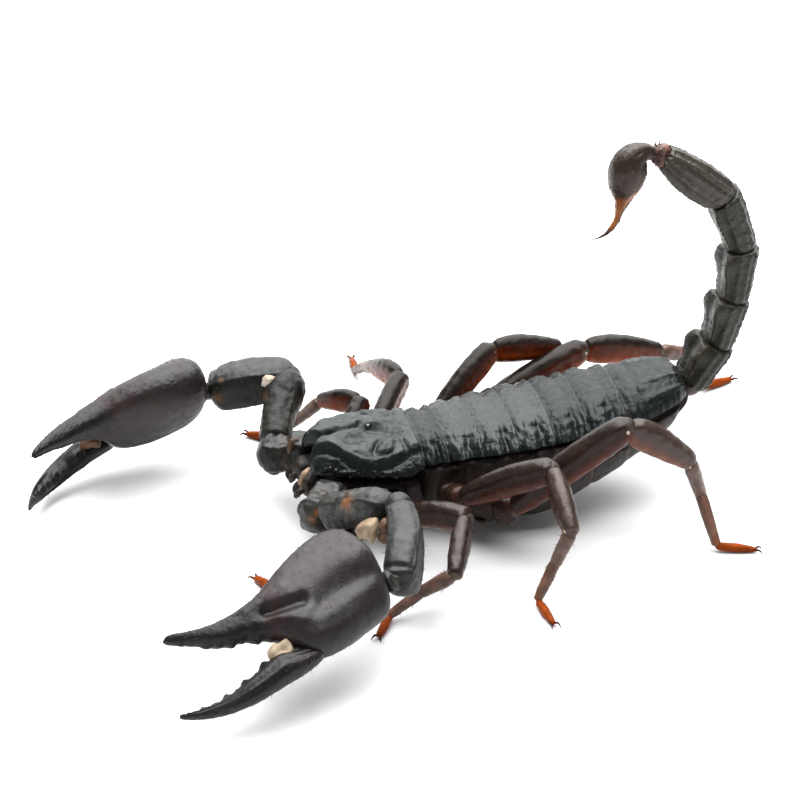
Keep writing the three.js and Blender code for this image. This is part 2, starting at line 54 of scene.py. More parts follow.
def smoothCurve(pairs):
    # a smooth curve through [place, value] pairs, level beyond both ends
    def value(place):
        last = len(pairs) - 1
        if place <= pairs[0][0]:
            return pairs[0][1]
        if place >= pairs[last][0]:
            return pairs[last][1]
        k = next(i for i, pair in enumerate(pairs) if pair[0] > place) - 1
        span = pairs[k + 1][0] - pairs[k][0]
        t = (place - pairs[k][0]) / span

        def slope(i):
            before, after = pairs[max(i - 1, 0)], pairs[min(i + 1, last)]
            return (after[1] - before[1]) / (after[0] - before[0]) * span

        a, b, s, e = pairs[k][1], pairs[k + 1][1], slope(k), slope(k + 1)
        t2, t3 = t * t, t * t * t
        return a * (2 * t3 - 3 * t2 + 1) + s * (t3 - 2 * t2 + t) + b * (3 * t2 - 2 * t3) + e * (t3 - t2)
    return value


def hump(distance, width):
    return math.exp(-(distance / width) ** 2)


def step(low, high, value):
    t = min(max((value - low) / (high - low), 0.0), 1.0)
    return t * t * (3 - 2 * t)


def boxy(value, square):
    return math.copysign(abs(value) ** (2 / square), value)


def around(angle, degrees):
    # the turn between an angle and a keel's place, shortest way round
    off = angle - math.radians(degrees)
    return math.atan2(math.sin(off), math.cos(off))


def endRound(t, first, last):
    a = math.sqrt(max(0.0, 1 - (1 - min(t / first, 1)) ** 2))
    return a * math.sqrt(max(0.0, 1 - (1 - min((1 - t) / last, 1)) ** 2))


def nearLine(x, y, a, b, width):
    # how near a place is to the line from a to b, fading beyond its ends
    line = Vector((b[0] - a[0], b[1] - a[1]))
    t = ((x - a[0]) * line.x + (y - a[1]) * line.y) / line.length_squared
    t = min(max(t, 0.0), 1.0)
    return hump(math.hypot(x - a[0] - line.x * t, y - a[1] - line.y * t), width)


def inFrame(point):
    return shift + Vector(point) * mm


def grains(point, size):
    # 1 at the middle of a granule, 0 between granules
    return max(0.0, 1 - noise.voronoi(point / size)[0][0] * 1.9)


def alongLine(points, t):
    # a smooth line through points, t from 0 to 1 by number of points
    last = len(points) - 1
    place = min(max(t, 0.0), 1.0) * last
    k = min(int(place), last - 1)
    f = place - k
    p = [points[min(max(k + i, 0), last)] for i in (-1, 0, 1, 2)]
    if k == 0:
        p[0] = p[1] * 2 - p[2]
    if k == last - 1:
        p[3] = p[2] * 2 - p[1]
    return 0.5 * (2 * p[1] + (p[2] - p[0]) * f + (2 * p[0] - 5 * p[1] + 4 * p[2] - p[3]) * f * f
                  + (3 * p[1] - p[0] - 3 * p[2] + p[3]) * f ** 3)


def newBody():
    bm = bmesh.new()
    bm.verts.layers.float.new("tone")
    return bm


def joinBody(bm, other):
    part = bpy.data.meshes.new("part")
    other.to_mesh(part)
    other.free()
    bm.from_mesh(part)
    bpy.data.meshes.remove(part)


def addTube(bm, steps, sides, shape):
    # a unit tube spun round Z, each vertex then taken to shape(t along, angle) = (place, tone)
    tube = newBody()
    tone = tube.verts.layers.float["tone"]
    line = tube.edges.new([tube.verts.new((1, 0, 0)), tube.verts.new((1, 0, 1))])
    bmesh.ops.subdivide_edges(tube, edges=[line], cuts=steps - 1)
    bmesh.ops.spin(tube, geom=tube.verts[:] + tube.edges[:], cent=(0, 0, 0), axis=(0, 0, 1),
                   angle=math.tau, steps=sides, use_merge=True)
    ends = ([], [])
    for v in tube.verts:
        t = v.co.z
        if t < 0.5 / steps:
            ends[0].append(v)
        if t > 1 - 0.5 / steps:
            ends[1].append(v)
        place, v[tone] = shape((1 - math.cos(math.pi * t)) / 2, math.atan2(v.co.y, v.co.x))
        v.co = inFrame(place)
    for ring in ends:
        middle = sum((v.co for v in ring), Vector()) / len(ring)
        bmesh.ops.pointmerge(tube, verts=ring, merge_co=middle)
    bmesh.ops.recalc_face_normals(tube, faces=tube.faces)
    joinBody(bm, tube)


def addSheet(bm, across, along, shape, turned=False):
    # a unit grid, each vertex taken to shape(u across, v along) = (place, tone)
    grid = newBody()
    tone = grid.verts.layers.float["tone"]
    bmesh.ops.create_grid(grid, x_segments=across, y_segments=along, size=1)
    for v in grid.verts:
        place, v[tone] = shape((v.co.x + 1) / 2, (v.co.y + 1) / 2)
        v.co = inFrame(place)
    if turned:
        bmesh.ops.reverse_faces(grid, faces=grid.faces)
    joinBody(bm, grid)


def addBall(bm, centre, radius, toneValue=0.0, detail=16):
    ball = newBody()
    tone = ball.verts.layers.float["tone"]
    bmesh.ops.create_uvsphere(ball, u_segments=detail, v_segments=detail // 2 + 1, radius=radius * mm,
                              matrix=Matrix.Translation(inFrame(centre)))
    for v in ball.verts:
        v[tone] = toneValue
    joinBody(bm, ball)


def scaled(size, pairs):
    return [(place, size * girth) for place, girth in pairs]


def limbSweep(points, look):
    # a horny limb along a smooth line; width and height are half-sizes in millimetres
    points = [Vector(p) for p in points]
    lengths, chords = [0.0], 60
    for k in range(chords):
        chord = alongLine(points, (k + 1) / chords) - alongLine(points, k / chords)
        lengths.append(lengths[-1] + chord.length)
    total = lengths[-1]
    first, over = look.get("first", 0.0), look.get("over", 0.0)
    startWay = (alongLine(points, 0.02) - points[0]).normalized()
    endWay = (points[-1] - alongLine(points, 0.98)).normalized()
    width, height = smoothCurve(look["width"]), smoothCurve(look["height"])
    square = look.get("square", 2.3)
    rounding = look.get("rounding", (0.05, 0.06))
    topHint = Vector(look.get("top", (0, 0, 1)))
    toneAt = look.get("tone", lambda t, s, c: 0.2)

    def middle(place):
        if place <= 0:
            return points[0] + startWay * place
        if place >= total:
            return points[-1] + endWay * (place - total)
        k = next(i for i, reached in enumerate(lengths) if reached > place) - 1
        return alongLine(points, (k + (place - lengths[k]) / (lengths[k + 1] - lengths[k])) / chords)

    def shape(t, angle):
        place = first + t * (total + over - first)
        here = middle(place)
        along = (middle(place + 0.1) - middle(place - 0.1)).normalized()
        top = (topHint - along * topHint.dot(along)).normalized()
        side = along.cross(top)
        c, s = math.cos(angle), math.sin(angle)
        taper = endRound(t, *rounding)
        p = here + side * (boxy(c, square) * width(t) * taper) + top * (boxy(s, square) * height(t) * taper)
        lift = look.get("grain", 0.04) * noise.noise(p * 0.9) * 2
        for keelAngle, keelHeight, keelWidth in look.get("keels", ()):
            off = around(angle, keelAngle)
            grainyShadedWall = 0.8 + 0.45 * noise.noise(Vector((place * 1.7, keelAngle, 0)))
            lift += (keelHeight * hump(off, math.radians(keelWidth)) * grainyShadedWall * step(0.0, 0.15, t)
                     * step(0, 0.1, 1 - t))
        for bumpT, bumpAngle, bumpHeight, bumpLong, bumpWide in look.get("bumps", ()):
            lift += (bumpHeight * hump(t - bumpT, bumpLong)
                     * hump(around(angle, bumpAngle), math.radians(bumpWide)))
        granules = look.get("granules", 0.0)
        if granules:
            lift += granules * grains(p, look.get("granuleSize", 0.42))
        p += (side * c + top * s) * (lift * taper)
        return p, min(max(toneAt(t, s, c), 0), 1)
    return shape


def addSpine(bm, steps, sides, base, tip, toneValue):
    girth = [(0, 0.14), (1, 0.03)]
    addTube(bm, steps, sides, limbSweep([base, tip], {
        "width": girth, "height": girth, "grain": 0, "tone": lambda t, s, c: toneValue}))


hairHosts = {"tail": [], "claws": [], "legs": []}  # shapes that wear bristles, how many and how long


def turnedAside(limit):
    # a ragged test for faces that turn sideways or down, which wear a less reflective copy as painted shade
    return lambda face, middle: face.normal.z < limit + 0.12 * noise.noise(middle * 1.1)


def finishPiece(name, bm, material, nodes=(), thickness=0.0, outward=True, secondFinish=None):
    # the last argument is a second finish and the test that tells which faces wear it; the flank copies are
    # painted shade, the fingers' copy is their duller finish
    if outward:
        bmesh.ops.recalc_face_normals(bm, faces=bm.faces)
    if secondFinish:
        for face in bm.faces:
            face.material_index = int(secondFinish[1](face, (face.calc_center_median() - shift) / mm))
    mesh = bpy.data.meshes.new(name)
    bm.to_mesh(mesh)
    bm.free()
    mesh.shade_smooth()
    piece = bpy.data.objects.new(name, mesh)
    bpy.context.scene.collection.objects.link(piece)
    mesh.materials.append(material)
    if secondFinish:
        mesh.materials.append(secondFinish[0])
    if thickness:
        wall = piece.modifiers.new("wall", "SOLIDIFY")
        wall.thickness = thickness * mm
        wall.offset = -1
    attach(piece, "root")
    if nodes:
        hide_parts(*nodes)


def linear(hexColour):
    parts = [int(hexColour[i:i + 2], 16) / 255 for i in (0, 2, 4)]
    return [(c / 12.92 if c <= 0.04045 else ((c + 0.055) / 1.055) ** 2.4) for c in parts] + [1.0]


def hornMaterial(name, look):
    # colour runs along the piece's tone, with mottling, fine grain and round granules
    mat = bpy.data.materials.new(name)
    mat.use_nodes = True
    nodes, links = mat.node_tree.nodes, mat.node_tree.links
    shader = nodes["Principled BSDF"]
    shader.inputs["IOR"].default_value = look.get("ior", 1.41)
    shader.inputs["Specular Tint"].default_value = linear(look.get("tint", "ffffff"))
    shader.inputs["Coat Weight"].default_value = look.get("coat", 0.0)
    shader.inputs["Coat Roughness"].default_value = look.get("coatRoughness", 0.2)
    shader.inputs["Subsurface Weight"].default_value = look.get("soft", 0.0)
    shader.inputs["Subsurface Radius"].default_value = (0.001, 0.0004, 0.0002)
    coord = nodes.new("ShaderNodeTexCoord")
    tone = nodes.new("ShaderNodeAttribute")
    tone.attribute_name = "tone"
    ramp = nodes.new("ShaderNodeValToRGB")
    stops = look["tones"]
    while len(ramp.color_ramp.elements) < len(stops):
        ramp.color_ramp.elements.new(0.5)
    for element, (place, colour) in zip(ramp.color_ramp.elements, stops):
        element.position = place
        element.color = linear(colour)
    links.new(tone.outputs["Fac"], ramp.inputs["Fac"])

    def noiseTexture(scale, detail=3.0):
        texture = nodes.new("ShaderNodeTexNoise")
        texture.inputs["Scale"].default_value = scale
        texture.inputs["Detail"].default_value = detail
        links.new(coord.outputs["Object"], texture.inputs["Vector"])
        return texture

    def spread(source, low, high, fromLow=0.3, fromHigh=0.7):
        node = nodes.new("ShaderNodeMapRange")
        node.inputs["From Min"].default_value = fromLow
        node.inputs["From Max"].default_value = fromHigh
        node.inputs["To Min"].default_value = low
        node.inputs["To Max"].default_value = high
        links.new(source, node.inputs["Value"])
        return node.outputs["Result"]

    mottle = noiseTexture(look.get("mottleScale", 450))
    blotch = nodes.new("ShaderNodeMix")
    blotch.data_type = "RGBA"
    blotch.inputs["B"].default_value = linear(look["mottle"])
    links.new(spread(mottle.outputs["Fac"], 0.0, look.get("mottleAmount", 0.5)), blotch.inputs["Factor"])
    links.new(ramp.outputs["Color"], blotch.inputs["A"])
    links.new(blotch.outputs["Result"], shader.inputs["Base Color"])

    sheen = noiseTexture(look.get("sheenScale", 900), 2.0)
    low, high = look["roughness"]
    links.new(spread(sheen.outputs["Fac"], low, high), shader.inputs["Roughness"])

    grain = noiseTexture(look.get("grainScale", 5200), 4.0)
    granule = nodes.new("ShaderNodeTexVoronoi")
    granule.inputs["Scale"].default_value = look.get("granuleScale", 2600)
    links.new(coord.outputs["Object"], granule.inputs["Vector"])
    bumps = nodes.new("ShaderNodeMath")
    bumps.operation = "MULTIPLY_ADD"
    bumps.inputs[1].default_value = -look.get("granules", 0.4)
    links.new(granule.outputs["Distance"], bumps.inputs[0])
    links.new(grain.outputs["Fac"], bumps.inputs[2])
    bump = nodes.new("ShaderNodeBump")
    bump.inputs["Strength"].default_value = look.get("bump", 0.35)
    bump.inputs["Distance"].default_value = 0.00012
    links.new(bumps.outputs["Value"], bump.inputs["Height"])
    links.new(bump.outputs["Normal"], shader.inputs["Normal"])
    return mat


finishes = {
    "shell": {"tones": [(0.0, "0f1212"), (0.5, "232726"), (0.8, "402819"), (1.0, "6c6f67")],
              "mottle": "080a0a", "mottleAmount": 0.6, "mottleScale": 600, "roughness": (0.27, 0.43),
              "tint": "e8f1f2", "ior": 1.39, "granules": 0.5, "bump": 0.4},
    "arms": {"tones": [(0.0, "0b0c0c"), (0.3, "1d1c18"), (0.55, "3c2c1e"), (0.8, "7c4c24"), (1.0, "a08468")],
             "mottle": "0a0a09", "mottleAmount": 0.5, "roughness": (0.34, 0.5), "tint": "f0f4f3",
             "ior": 1.43, "granules": 0.6, "bump": 0.32},
    "claws": {"tones": [(0.0, "181717"), (0.4, "251819"), (0.65, "0f0f0f"), (1.0, "070907")],
              "mottle": "0e0c0c", "mottleScale": 300, "roughness": (0.32, 0.46), "tint": "f6f3f3",
              "ior": 1.37, "granules": 0.6, "granuleScale": 2600, "bump": 0.26},
    "legs": {"tones": [(0.0, "120d0b"), (0.3, "291b16"), (0.6, "551f08"), (0.85, "84360a"), (1.0, "8e3a08")],
             "mottle": "0e0907", "mottleScale": 600, "mottleAmount": 0.5, "roughness": (0.24, 0.38),
             "tint": "fbf2ee", "ior": 1.38, "granules": 0.3, "bump": 0.35},
    # pinkish grey-brown, made lighter to stand in for a sheen: own colour and painted sheen together
    "shins": {"tones": [(0.0, "241b18"), (0.4, "5a463e"), (0.7, "664636"), (1.0, "6a3a1e")],
              "mottle": "2c1d18", "mottleScale": 700, "mottleAmount": 0.7, "roughness": (0.3, 0.44),
              "tint": "fbf2ee", "ior": 1.38, "granules": 0.3, "bump": 0.35},
    "belly": {"tones": [(0.0, "0e0b0a"), (0.5, "241610"), (1.0, "5c3c28")], "mottle": "080706",
              "roughness": (0.38, 0.6), "ior": 1.33, "granules": 0.5, "bump": 0.5},
    "tail": {"tones": [(0.0, "100f0d"), (0.5, "242119"), (1.0, "50493c")], "mottle": "0b0a08",
             "mottleAmount": 0.5, "roughness": (0.3, 0.46), "tint": "f4f4ec", "granules": 0.7, "bump": 0.45},
    "sting": {"tones": [(0.0, "1a1610"), (0.4, "2c1c14"), (0.6, "7c4216"), (0.78, "9e5a1a"), (0.9, "40200f"),
                        (1.0, "241a14")],
              "mottle": "181110", "mottleAmount": 0.45, "roughness": (0.28, 0.4), "tint": "fff2ea",
              "bump": 0.3},
    "membrane": {"tones": [(0.0, "14100d"), (0.5, "5c3e26"), (0.8, "9c8a72"), (1.0, "ccc2b4")],
                 "mottle": "4a3a2c", "mottleAmount": 0.4, "roughness": (0.45, 0.6), "soft": 0.12,
                 "granules": 0.3, "bump": 0.4},
    "archSkin": {"tones": [(0.0, "1c1412"), (0.5, "5a3c32"), (0.8, "8c6c60"), (1.0, "a8948a")],
                 "mottle": "3a2620", "mottleAmount": 0.6, "roughness": (0.4, 0.55), "soft": 0.08,
                 "granules": 0.4, "bump": 0.4},
    "bristles": {"tones": [(0.0, "30201a"), (1.0, "704a26")], "mottle": "241810", "roughness": (0.4, 0.5),
                 "bump": 0.0},
    "eyes": {"tones": [(0.0, "050506"), (1.0, "0c0c10")], "mottle": "030303", "roughness": (0.06, 0.1),
             "coat": 0.4, "coatRoughness": 0.03, "ior": 1.5, "granules": 0.0, "bump": 0.0},
}
finishes["rearShell"] = dict(finishes["shell"], ior=1.31, roughness=(0.3, 0.46))
finishes["headShell"] = dict(finishes["shell"], ior=1.44, roughness=(0.36, 0.52))
# less reflective copies of the shell, arm and leg finishes: painted shade where they are worn
finishes["shellFlank"] = dict(finishes["shell"], ior=1.27)
finishes["armFlank"] = dict(finishes["arms"], ior=1.3)
finishes["legFlank"] = dict(finishes["legs"], ior=1.27)
finishes["patellae"] = dict(finishes["legs"], ior=1.43,
                            tones=[(0.0, "1c1512"), (0.3, "362822"), (0.6, "522a16"), (1.0, "6e3410")])
finishes["fingers"] = dict(finishes["claws"], ior=1.33)
finishes["tailRoot"] = dict(finishes["tail"], ior=1.34)
finishes["tailEnd"] = dict(finishes["tail"], ior=1.52,
                           tones=[(0.0, "1a1612"), (0.5, "342c22"), (1.0, "5c5140")])
finishes["feet"] = dict(finishes["legs"], ior=1.12,
                        tones=[(0.0, "120d0b"), (0.4, "3a1a0c"), (0.7, "6c2a08"), (1.0, "84380c")])
horn = {name: hornMaterial("horn_" + name, look) for name, look in finishes.items()}
print("finishes made")

backHeight = smoothCurve([
    (-31, 13.7), (-29.6, 14.6), (-28, 15.2), (-24, 15.6), (-20, 15.4), (-16, 14.5), (-9, 15.1), (-2, 15.7),
    (4, 16.5), (9, 17.3), (14, 18.2), (19, 18.8), (22, 18.6)])
bodyWidth = smoothCurve([
    (-31, 3.9), (-28.5, 5.4), (-24, 6.7), (-19, 7.4), (-16, 7.4), (-11, 7.9), (-5, 8.7), (3, 9), (8, 8.6),
    (13, 7.4), (18, 6), (22.4, 4)])
marginHeight = smoothCurve([
    (-31, 10.6), (-24, 10.5), (-16, 10.5), (-10, 11.2), (-3, 11.8), (3, 12.4), (8, 13.2), (14, 14.4),
    (22, 16)])
bellyHeight = smoothCurve([
    (-30, 6), (-24, 4.8), (-16, 3.4), (-11, 2.8), (-8.4, 2.4), (-5, 1.2), (-1, 1), (2, 1.5), (5, 3.0),
    (10, 4.7), (14, 6.7), (18, 9.5), (22.4, 13.2)])
flankBulge = smoothCurve([(-10, 0.3), (-4, 0.9), (3, 1), (10, 0.7), (18, 0.4)])
bellySquareness = smoothCurve([(-8, 3.4), (2, 3.3), (8, 2.6), (16, 2.4)])
headFront, headRear = -31, -16
backSquareness = 2.3
tergiteRears = [-12.6, -7.9, -3, 1.9, 6.7, 12.2, 22]
sterniteRears = [-3.5, 2, 7.2, 12.6, 22.2]

# square is how boxy the section is, sharp is how hard the edge of the roof is
headShape = {
    "notch": 1.8, "furrow": 0.85, "tubercle": 0.85, "lobe": 0.6, "cheek": 0.3, "mound": 0.38,
    "moundGroove": 0.42, "shoulderRidge": 0.16, "shoulderGroove": 0.75, "shoulderRise": 0.3,
    "roofFall": 0.56, "roll": 0.045, "grain": 0.08, "square": 2.45, "sharp": 14,
    "corners": [(-24.7, 6.0, 0.35), (-21.6, 6.35, 0.35), (-17.8, 6.2, 0.4), (-27.4, 4.6, 0.3)],
}
shoulder = smoothCurve([(-30, 1.9), (-27.5, 3.5), (-25.8, 4.9), (-24, 6.0), (-21.3, 6.2), (-18.9, 5.6),
                        (-17.2, 5.2), (-16, 5.0)])


def headRelief(x, y):
    look = headShape
    side = abs(x)
    lift = -look["furrow"] * hump(x, 0.5) * step(-31, -29.5, y) * (1 - step(-24.4, -23.4, y))
    lift -= 0.35 * (hump(x, 0.7) * hump(y + 27.7, 0.8) + hump(x, 0.7) * hump(y + 23.9, 0.5))
    lift += (look["tubercle"] * hump(x, 1.3) * hump(y + 22, 1.7)
             + 0.18 * hump(side - 0.8, 0.3) * hump(y + 22.2, 1.3))
    lift -= 0.3 * hump(x, 0.35) * step(-20.6, -19.8, y) * (1 - step(-17, -16.2, y))
    lift -= 0.4 * hump(side - 1.6, 0.9) * hump(y + 17.5, 0.8)
    lift += (look["lobe"] * hump(side - 3.0, 1.3) * hump(y + 28.2, 1.9)
             + look["cheek"] * hump(side - 4.3, 0.9) * hump(y + 24.6, 1.5))
    lift -= 0.45 * hump(side - 2.4, 0.8) * hump(y + 24.8, 1.8)
    lift -= 0.3 * nearLine(side, y, (1.5, -22.6), (2.6, -18.2), 0.5)
    # the oval behind the eyes, with a groove round it
    turn = 0.55
    out, back = side - 4.0, y + 20.3
    long = back * math.cos(turn) - out * math.sin(turn)
    wide = out * math.cos(turn) + back * math.sin(turn)
    ring = math.hypot(long / 2.0, wide / 0.9) * (1 + 0.12 * noise.noise(Vector((side, y, 6)) * 0.7))
    lift += look["mound"] * (1 - step(0.1, 1.15, ring)) * (1 + 0.4 * noise.noise(Vector((side, y, 2)) * 1.1))
    lift -= look["moundGroove"] * hump(ring - 1.25, 0.26) * step(-0.7, 1.3, 0.8 * out - 0.6 * back)
    lift -= 0.38 * nearLine(side, y, (3.4, -18.2), (6.2, -17.9), 0.4)
    outside = side - shoulder(y)
    lift += look["shoulderRise"] * hump(outside + 0.8, 0.95)
    for back, out, high in look["corners"]:
        lift += high * hump(y - back, 0.55) * hump(side - out, 0.4)
    lift += (look["shoulderRidge"] * hump(outside + 0.2, 0.3)
             - look["shoulderGroove"] * hump(outside - 0.7, 0.5))
    lift += 0.12 * hump(outside - 1.3, 0.25)
    return lift


def makeCarapace():
    bm = newBody()

    def shape(u, v):
        theta = math.pi * (0.02 + 0.96 * u)
        y0 = headFront + v * (headRear - headFront)
        width, margin = bodyWidth(y0), marginHeight(y0) + 1.5 * step(-19.4, -15.6, y0) ** 2
        x = width * boxy(math.cos(theta), headShape["square"])
        front = headFront + headShape["notch"] * hump(x, 1.4) + 0.09 * max(0, abs(x) - 1.8) ** 2
        y = front + v * (headRear - front)
        nose = math.sqrt(max(0.0, 1 - (1 - min(v / 0.06, 1)) ** 2))
        rise = (backHeight(y) - margin) * (0.45 + 0.55 * nose)
        dome, sharp = boxy(math.sin(theta), headShape["square"]), headShape["sharp"]
        roof = 1.04 - headShape["roofFall"] * (abs(x) / width) ** 1.25
        crown = -math.log(math.exp(-sharp * roof) + math.exp(-sharp * dome)) / sharp + 0.02
        rearBlend = step(-19.5, -16.6, y)
        z = margin + rise * (crown + (dome - crown) * rearBlend) - 0.25 * (1 - step(0, 0.2, math.sin(theta)))
        z -= headShape["roll"] * x * (1 - rearBlend) * step(0, 0.5, math.sin(theta))
        lift = headRelief(x, y) * nose * step(0.12, 0.4, math.sin(theta))
        z += lift
        # the band just outside the shoulder: coarser granules, and painted shade on the side wall
        grainyShadedWall = step(-0.2, 0.6, abs(x) - shoulder(y)) * (1 - step(0.5, 2.0, abs(x) - shoulder(y)) * 0.6)
        p = Vector((x, y, z))
        wall = 1 - step(0.15, 0.5, math.sin(theta))
        dent = (0.45 * noise.noise(Vector((y * 0.75, z * 0.9, 3)))
                + 0.2 * noise.noise(Vector((y * 1.9, z * 2.2, 8))))
        x += math.copysign(wall * dent, x)
        z += headShape["grain"] * noise.noise(p * 1.6) + grains(p, 0.42) * (0.015 + 0.1 * grainyShadedWall)
        z -= 0.4 * (1 - step(0.0, 0.03, 1 - v))  # rolled rear rim
        # tone rises with the relief and falls on the side wall: painted highlight on raised parts, painted
        # shade in the grooves and on the wall
        return (x, y, z), min(0.75, max(0.0, 0.1 + 0.3 * lift) - 0.1 * grainyShadedWall)

    addSheet(bm, 170, 150, shape, turned=True)
    # faces turned sideways or down wear the less reflective copy as painted shade
    finishPiece("carapace", bm, horn["headShell"], ["carapace"], thickness=0.5, outward=False,
                secondFinish=(horn["shellFlank"], turnedAside(0.52)))


def makeEyes():
    look = {"radius": 0.5, "sideRadius": 0.28, "side": 0.95, "along": -22.4,
            "height": backHeight(-22.4) - 0.12,
            "sideEyes": [(-29.3, 4.1, 12.35), (-28.5, 4.8, 12.1), (-27.8, 5.25, 11.9)]}
    for sideName, sign in (("left", 1), ("right", -1)):
        bm = newBody()
        addBall(bm, (sign * look["side"], look["along"], look["height"]), look["radius"], detail=28)
        finishPiece("eye_" + sideName, bm, horn["eyes"], ["eye_" + sideName])
        bm = newBody()
        for along, out, height in look["sideEyes"]:
            addBall(bm, (sign * out, along, height), look["sideRadius"], detail=16)
        finishPiece("side_eyes_" + sideName, bm, horn["eyes"])


tergiteLook = {"edge": 21, "overlap": 0.9, "hump": 0.42, "valley": 0.6, "lip": 0.22, "frontGroove": 0.45,
               "rightSide": 0.55}


def makeTergite(index):
    look = tergiteLook
    front = headRear if index == 0 else tergiteRears[index - 1]
    rear = tergiteRears[index]
    last = index == 6
    edge = look["edge"] / 180 if not last else 0.02
    bm = newBody()

    def shape(u, v):
        theta = math.pi * (edge + (1 - 2 * edge) * u)
        start = front - look["overlap"]
        y = start + v * (rear + 0.15 - start)
        s = (y - front) / (rear - front)
        width = bodyWidth(y) + 0.15
        margin = marginHeight(y) - 0.3
        cosine, sine = boxy(math.cos(theta), backSquareness), boxy(math.sin(theta), backSquareness)
        x = width * cosine
        reach = abs(x) / width
        side = step(0.3, 0.85, reach)
        if x < 0:
            side *= look["rightSide"]  # the right side is calmer
        wave = 0.06 * noise.noise(Vector((x * 0.7, index * 5.0, 0)))
        relief = -look["frontGroove"] * hump(s - 0.03, 0.1) * (0.5 + 0.5 * side)
        relief += look["lip"] * hump(s - 0.96 + wave, 0.06) * (0.5 + 0.5 * side)
        if last:
            relief += (0.3 * hump(reach - 0.42, 0.07) * step(0.2, 0.5, s)
                       * (0.8 + 0.4 * noise.noise(Vector((0, y, 4)))))
            relief += 0.3 * hump(reach - 0.8, 0.06) * step(0.25, 0.55, s)
            relief -= 0.35 * hump(s - 0.25, 0.07) * (0.4 + 0.6 * side)
            relief += 0.25 * hump(reach - 0.55, 0.1) * hump(s - 0.3, 0.06)
        else:
            relief += look["hump"] * hump(s - 0.38 + wave, 0.14) * (0.2 + 0.8 * side)
            relief -= look["valley"] * hump(s - 0.68 + wave, 0.1) * (0.15 + 0.85 * side)
            relief -= 0.2 * hump(reach - 0.62, 0.05) * hump(s - 0.5, 0.3)
        relief += (0.1 * noise.noise(Vector((x * 1.0, y * 1.4, 3 + index)))
                   + 0.05 * noise.noise(Vector((x * 2.6, y * 3.2, 5))))
        relief += (0.1 if last else 0.24) * side * noise.noise(Vector((x * 0.8, y * 1.9, 7 + index)))
        relief += 0.06 * side * grains(Vector((x, y, 0)), 0.55)
        hidden = -0.5 * (1 - step(0, 0.2, v))
        rim = -0.3 * (1 - step(0, 0.03, 1 - v))
        curl = -0.9 * step(0.86, 1.0, s) if last else 0.0
        z = margin + (backHeight(y) - margin + 0.1 + hidden + rim + curl) * sine + relief * sine
        x += (relief * 0.9 + hidden + rim + curl) * cosine
        broken = step(-0.25, 0.3, noise.noise(Vector((x * 1.3, index * 3.0, 9))))
        # the broken pale line along each rear edge and the lighter raised humps are painted highlights
        tone = 0.08 + 0.7 * hump(s - 0.985, 0.018) * broken * (0.3 + 0.3 * side) + 0.2 * max(0, relief)
        if index in (5, 6):
            tone += 0.6 * hump(s - (1.0 if index == 5 else 0.0), 0.035)
        return (x, y, z), min(tone, 1)

    addSheet(bm, 170, 70 if last else 40, shape, turned=True)
    name = f"tergite_{index + 1}"
    # tergite 1 wears the less reflective rear finish as painted shade; faces turned sideways or down wear the
    # flank copy, painted shade too
    finish = horn["rearShell" if index > 3 or index == 0 else "shell"]
    finishPiece(name, bm, finish, [name], thickness=0.35, outward=False,
                secondFinish=(horn["shellFlank"], turnedAside(0.55)))


def makeFlankSkin():
    look = {"start": -16.6, "end": 22.9, "pleat": 0.25, "lump": 0.5}
    bm = newBody()

    def shape(t, angle):
        y = look["start"] + t * (look["end"] - look["start"])
        margin, belly, back = marginHeight(y), bellyHeight(y), backHeight(y)
        c, s = math.cos(angle), math.sin(angle)
        ends = math.sqrt(max(0.0, 1 - (2 * t - 1) ** 40))
        plate = 0
        while plate < 6 and tergiteRears[plate] < y:
            plate += 1
        low = headRear if plate == 0 else tergiteRears[plate - 1]
        s2 = (y - low) / (tergiteRears[plate] - low)
        flank = hump(s - 0.25, 0.3)
        fold = look["pleat"] * (hump(s2 - 0.5, 0.35) - 0.5) * flank
        fold += look["lump"] * noise.noise(Vector((y * 0.9, c * 2, s * 6))) * flank
        fold += 0.14 * math.sin(s * 22 + noise.noise(Vector((y * 0.5, 0, s * 2))) * 5) * flank
        fold += 0.3 * grains(Vector((y, c * 9, s * 7)), 0.9) * flank
        under = 0.6 * step(-0.35, 0.05, s) + 0.65 * step(0.15, 0.45, s)
        if s > 0:
            x = ((bodyWidth(y) - 0.15 - under) * boxy(c, backSquareness) * ends
                 + fold * c * (1 - step(0.1, 0.4, s)))
            z = margin - 0.3 + (back - margin - 0.9) * boxy(s, backSquareness) * ends
        else:
            square = bellySquareness(y)
            x = ((bodyWidth(y) + flankBulge(y) * min(1, -s * 3) - 0.15 - under) * boxy(c, square) * ends
                 + fold * c)
            z = margin - 0.3 - (margin - belly - 0.9) * boxy(-s, square) * ends
        # tone follows the folds: painted highlight on their ridges, painted shade in the creases
        return (x, y, z), 0.3 + 0.5 * fold
    addTube(bm, 200, 130, shape)
    finishPiece("flank_skin", bm, horn["belly"])


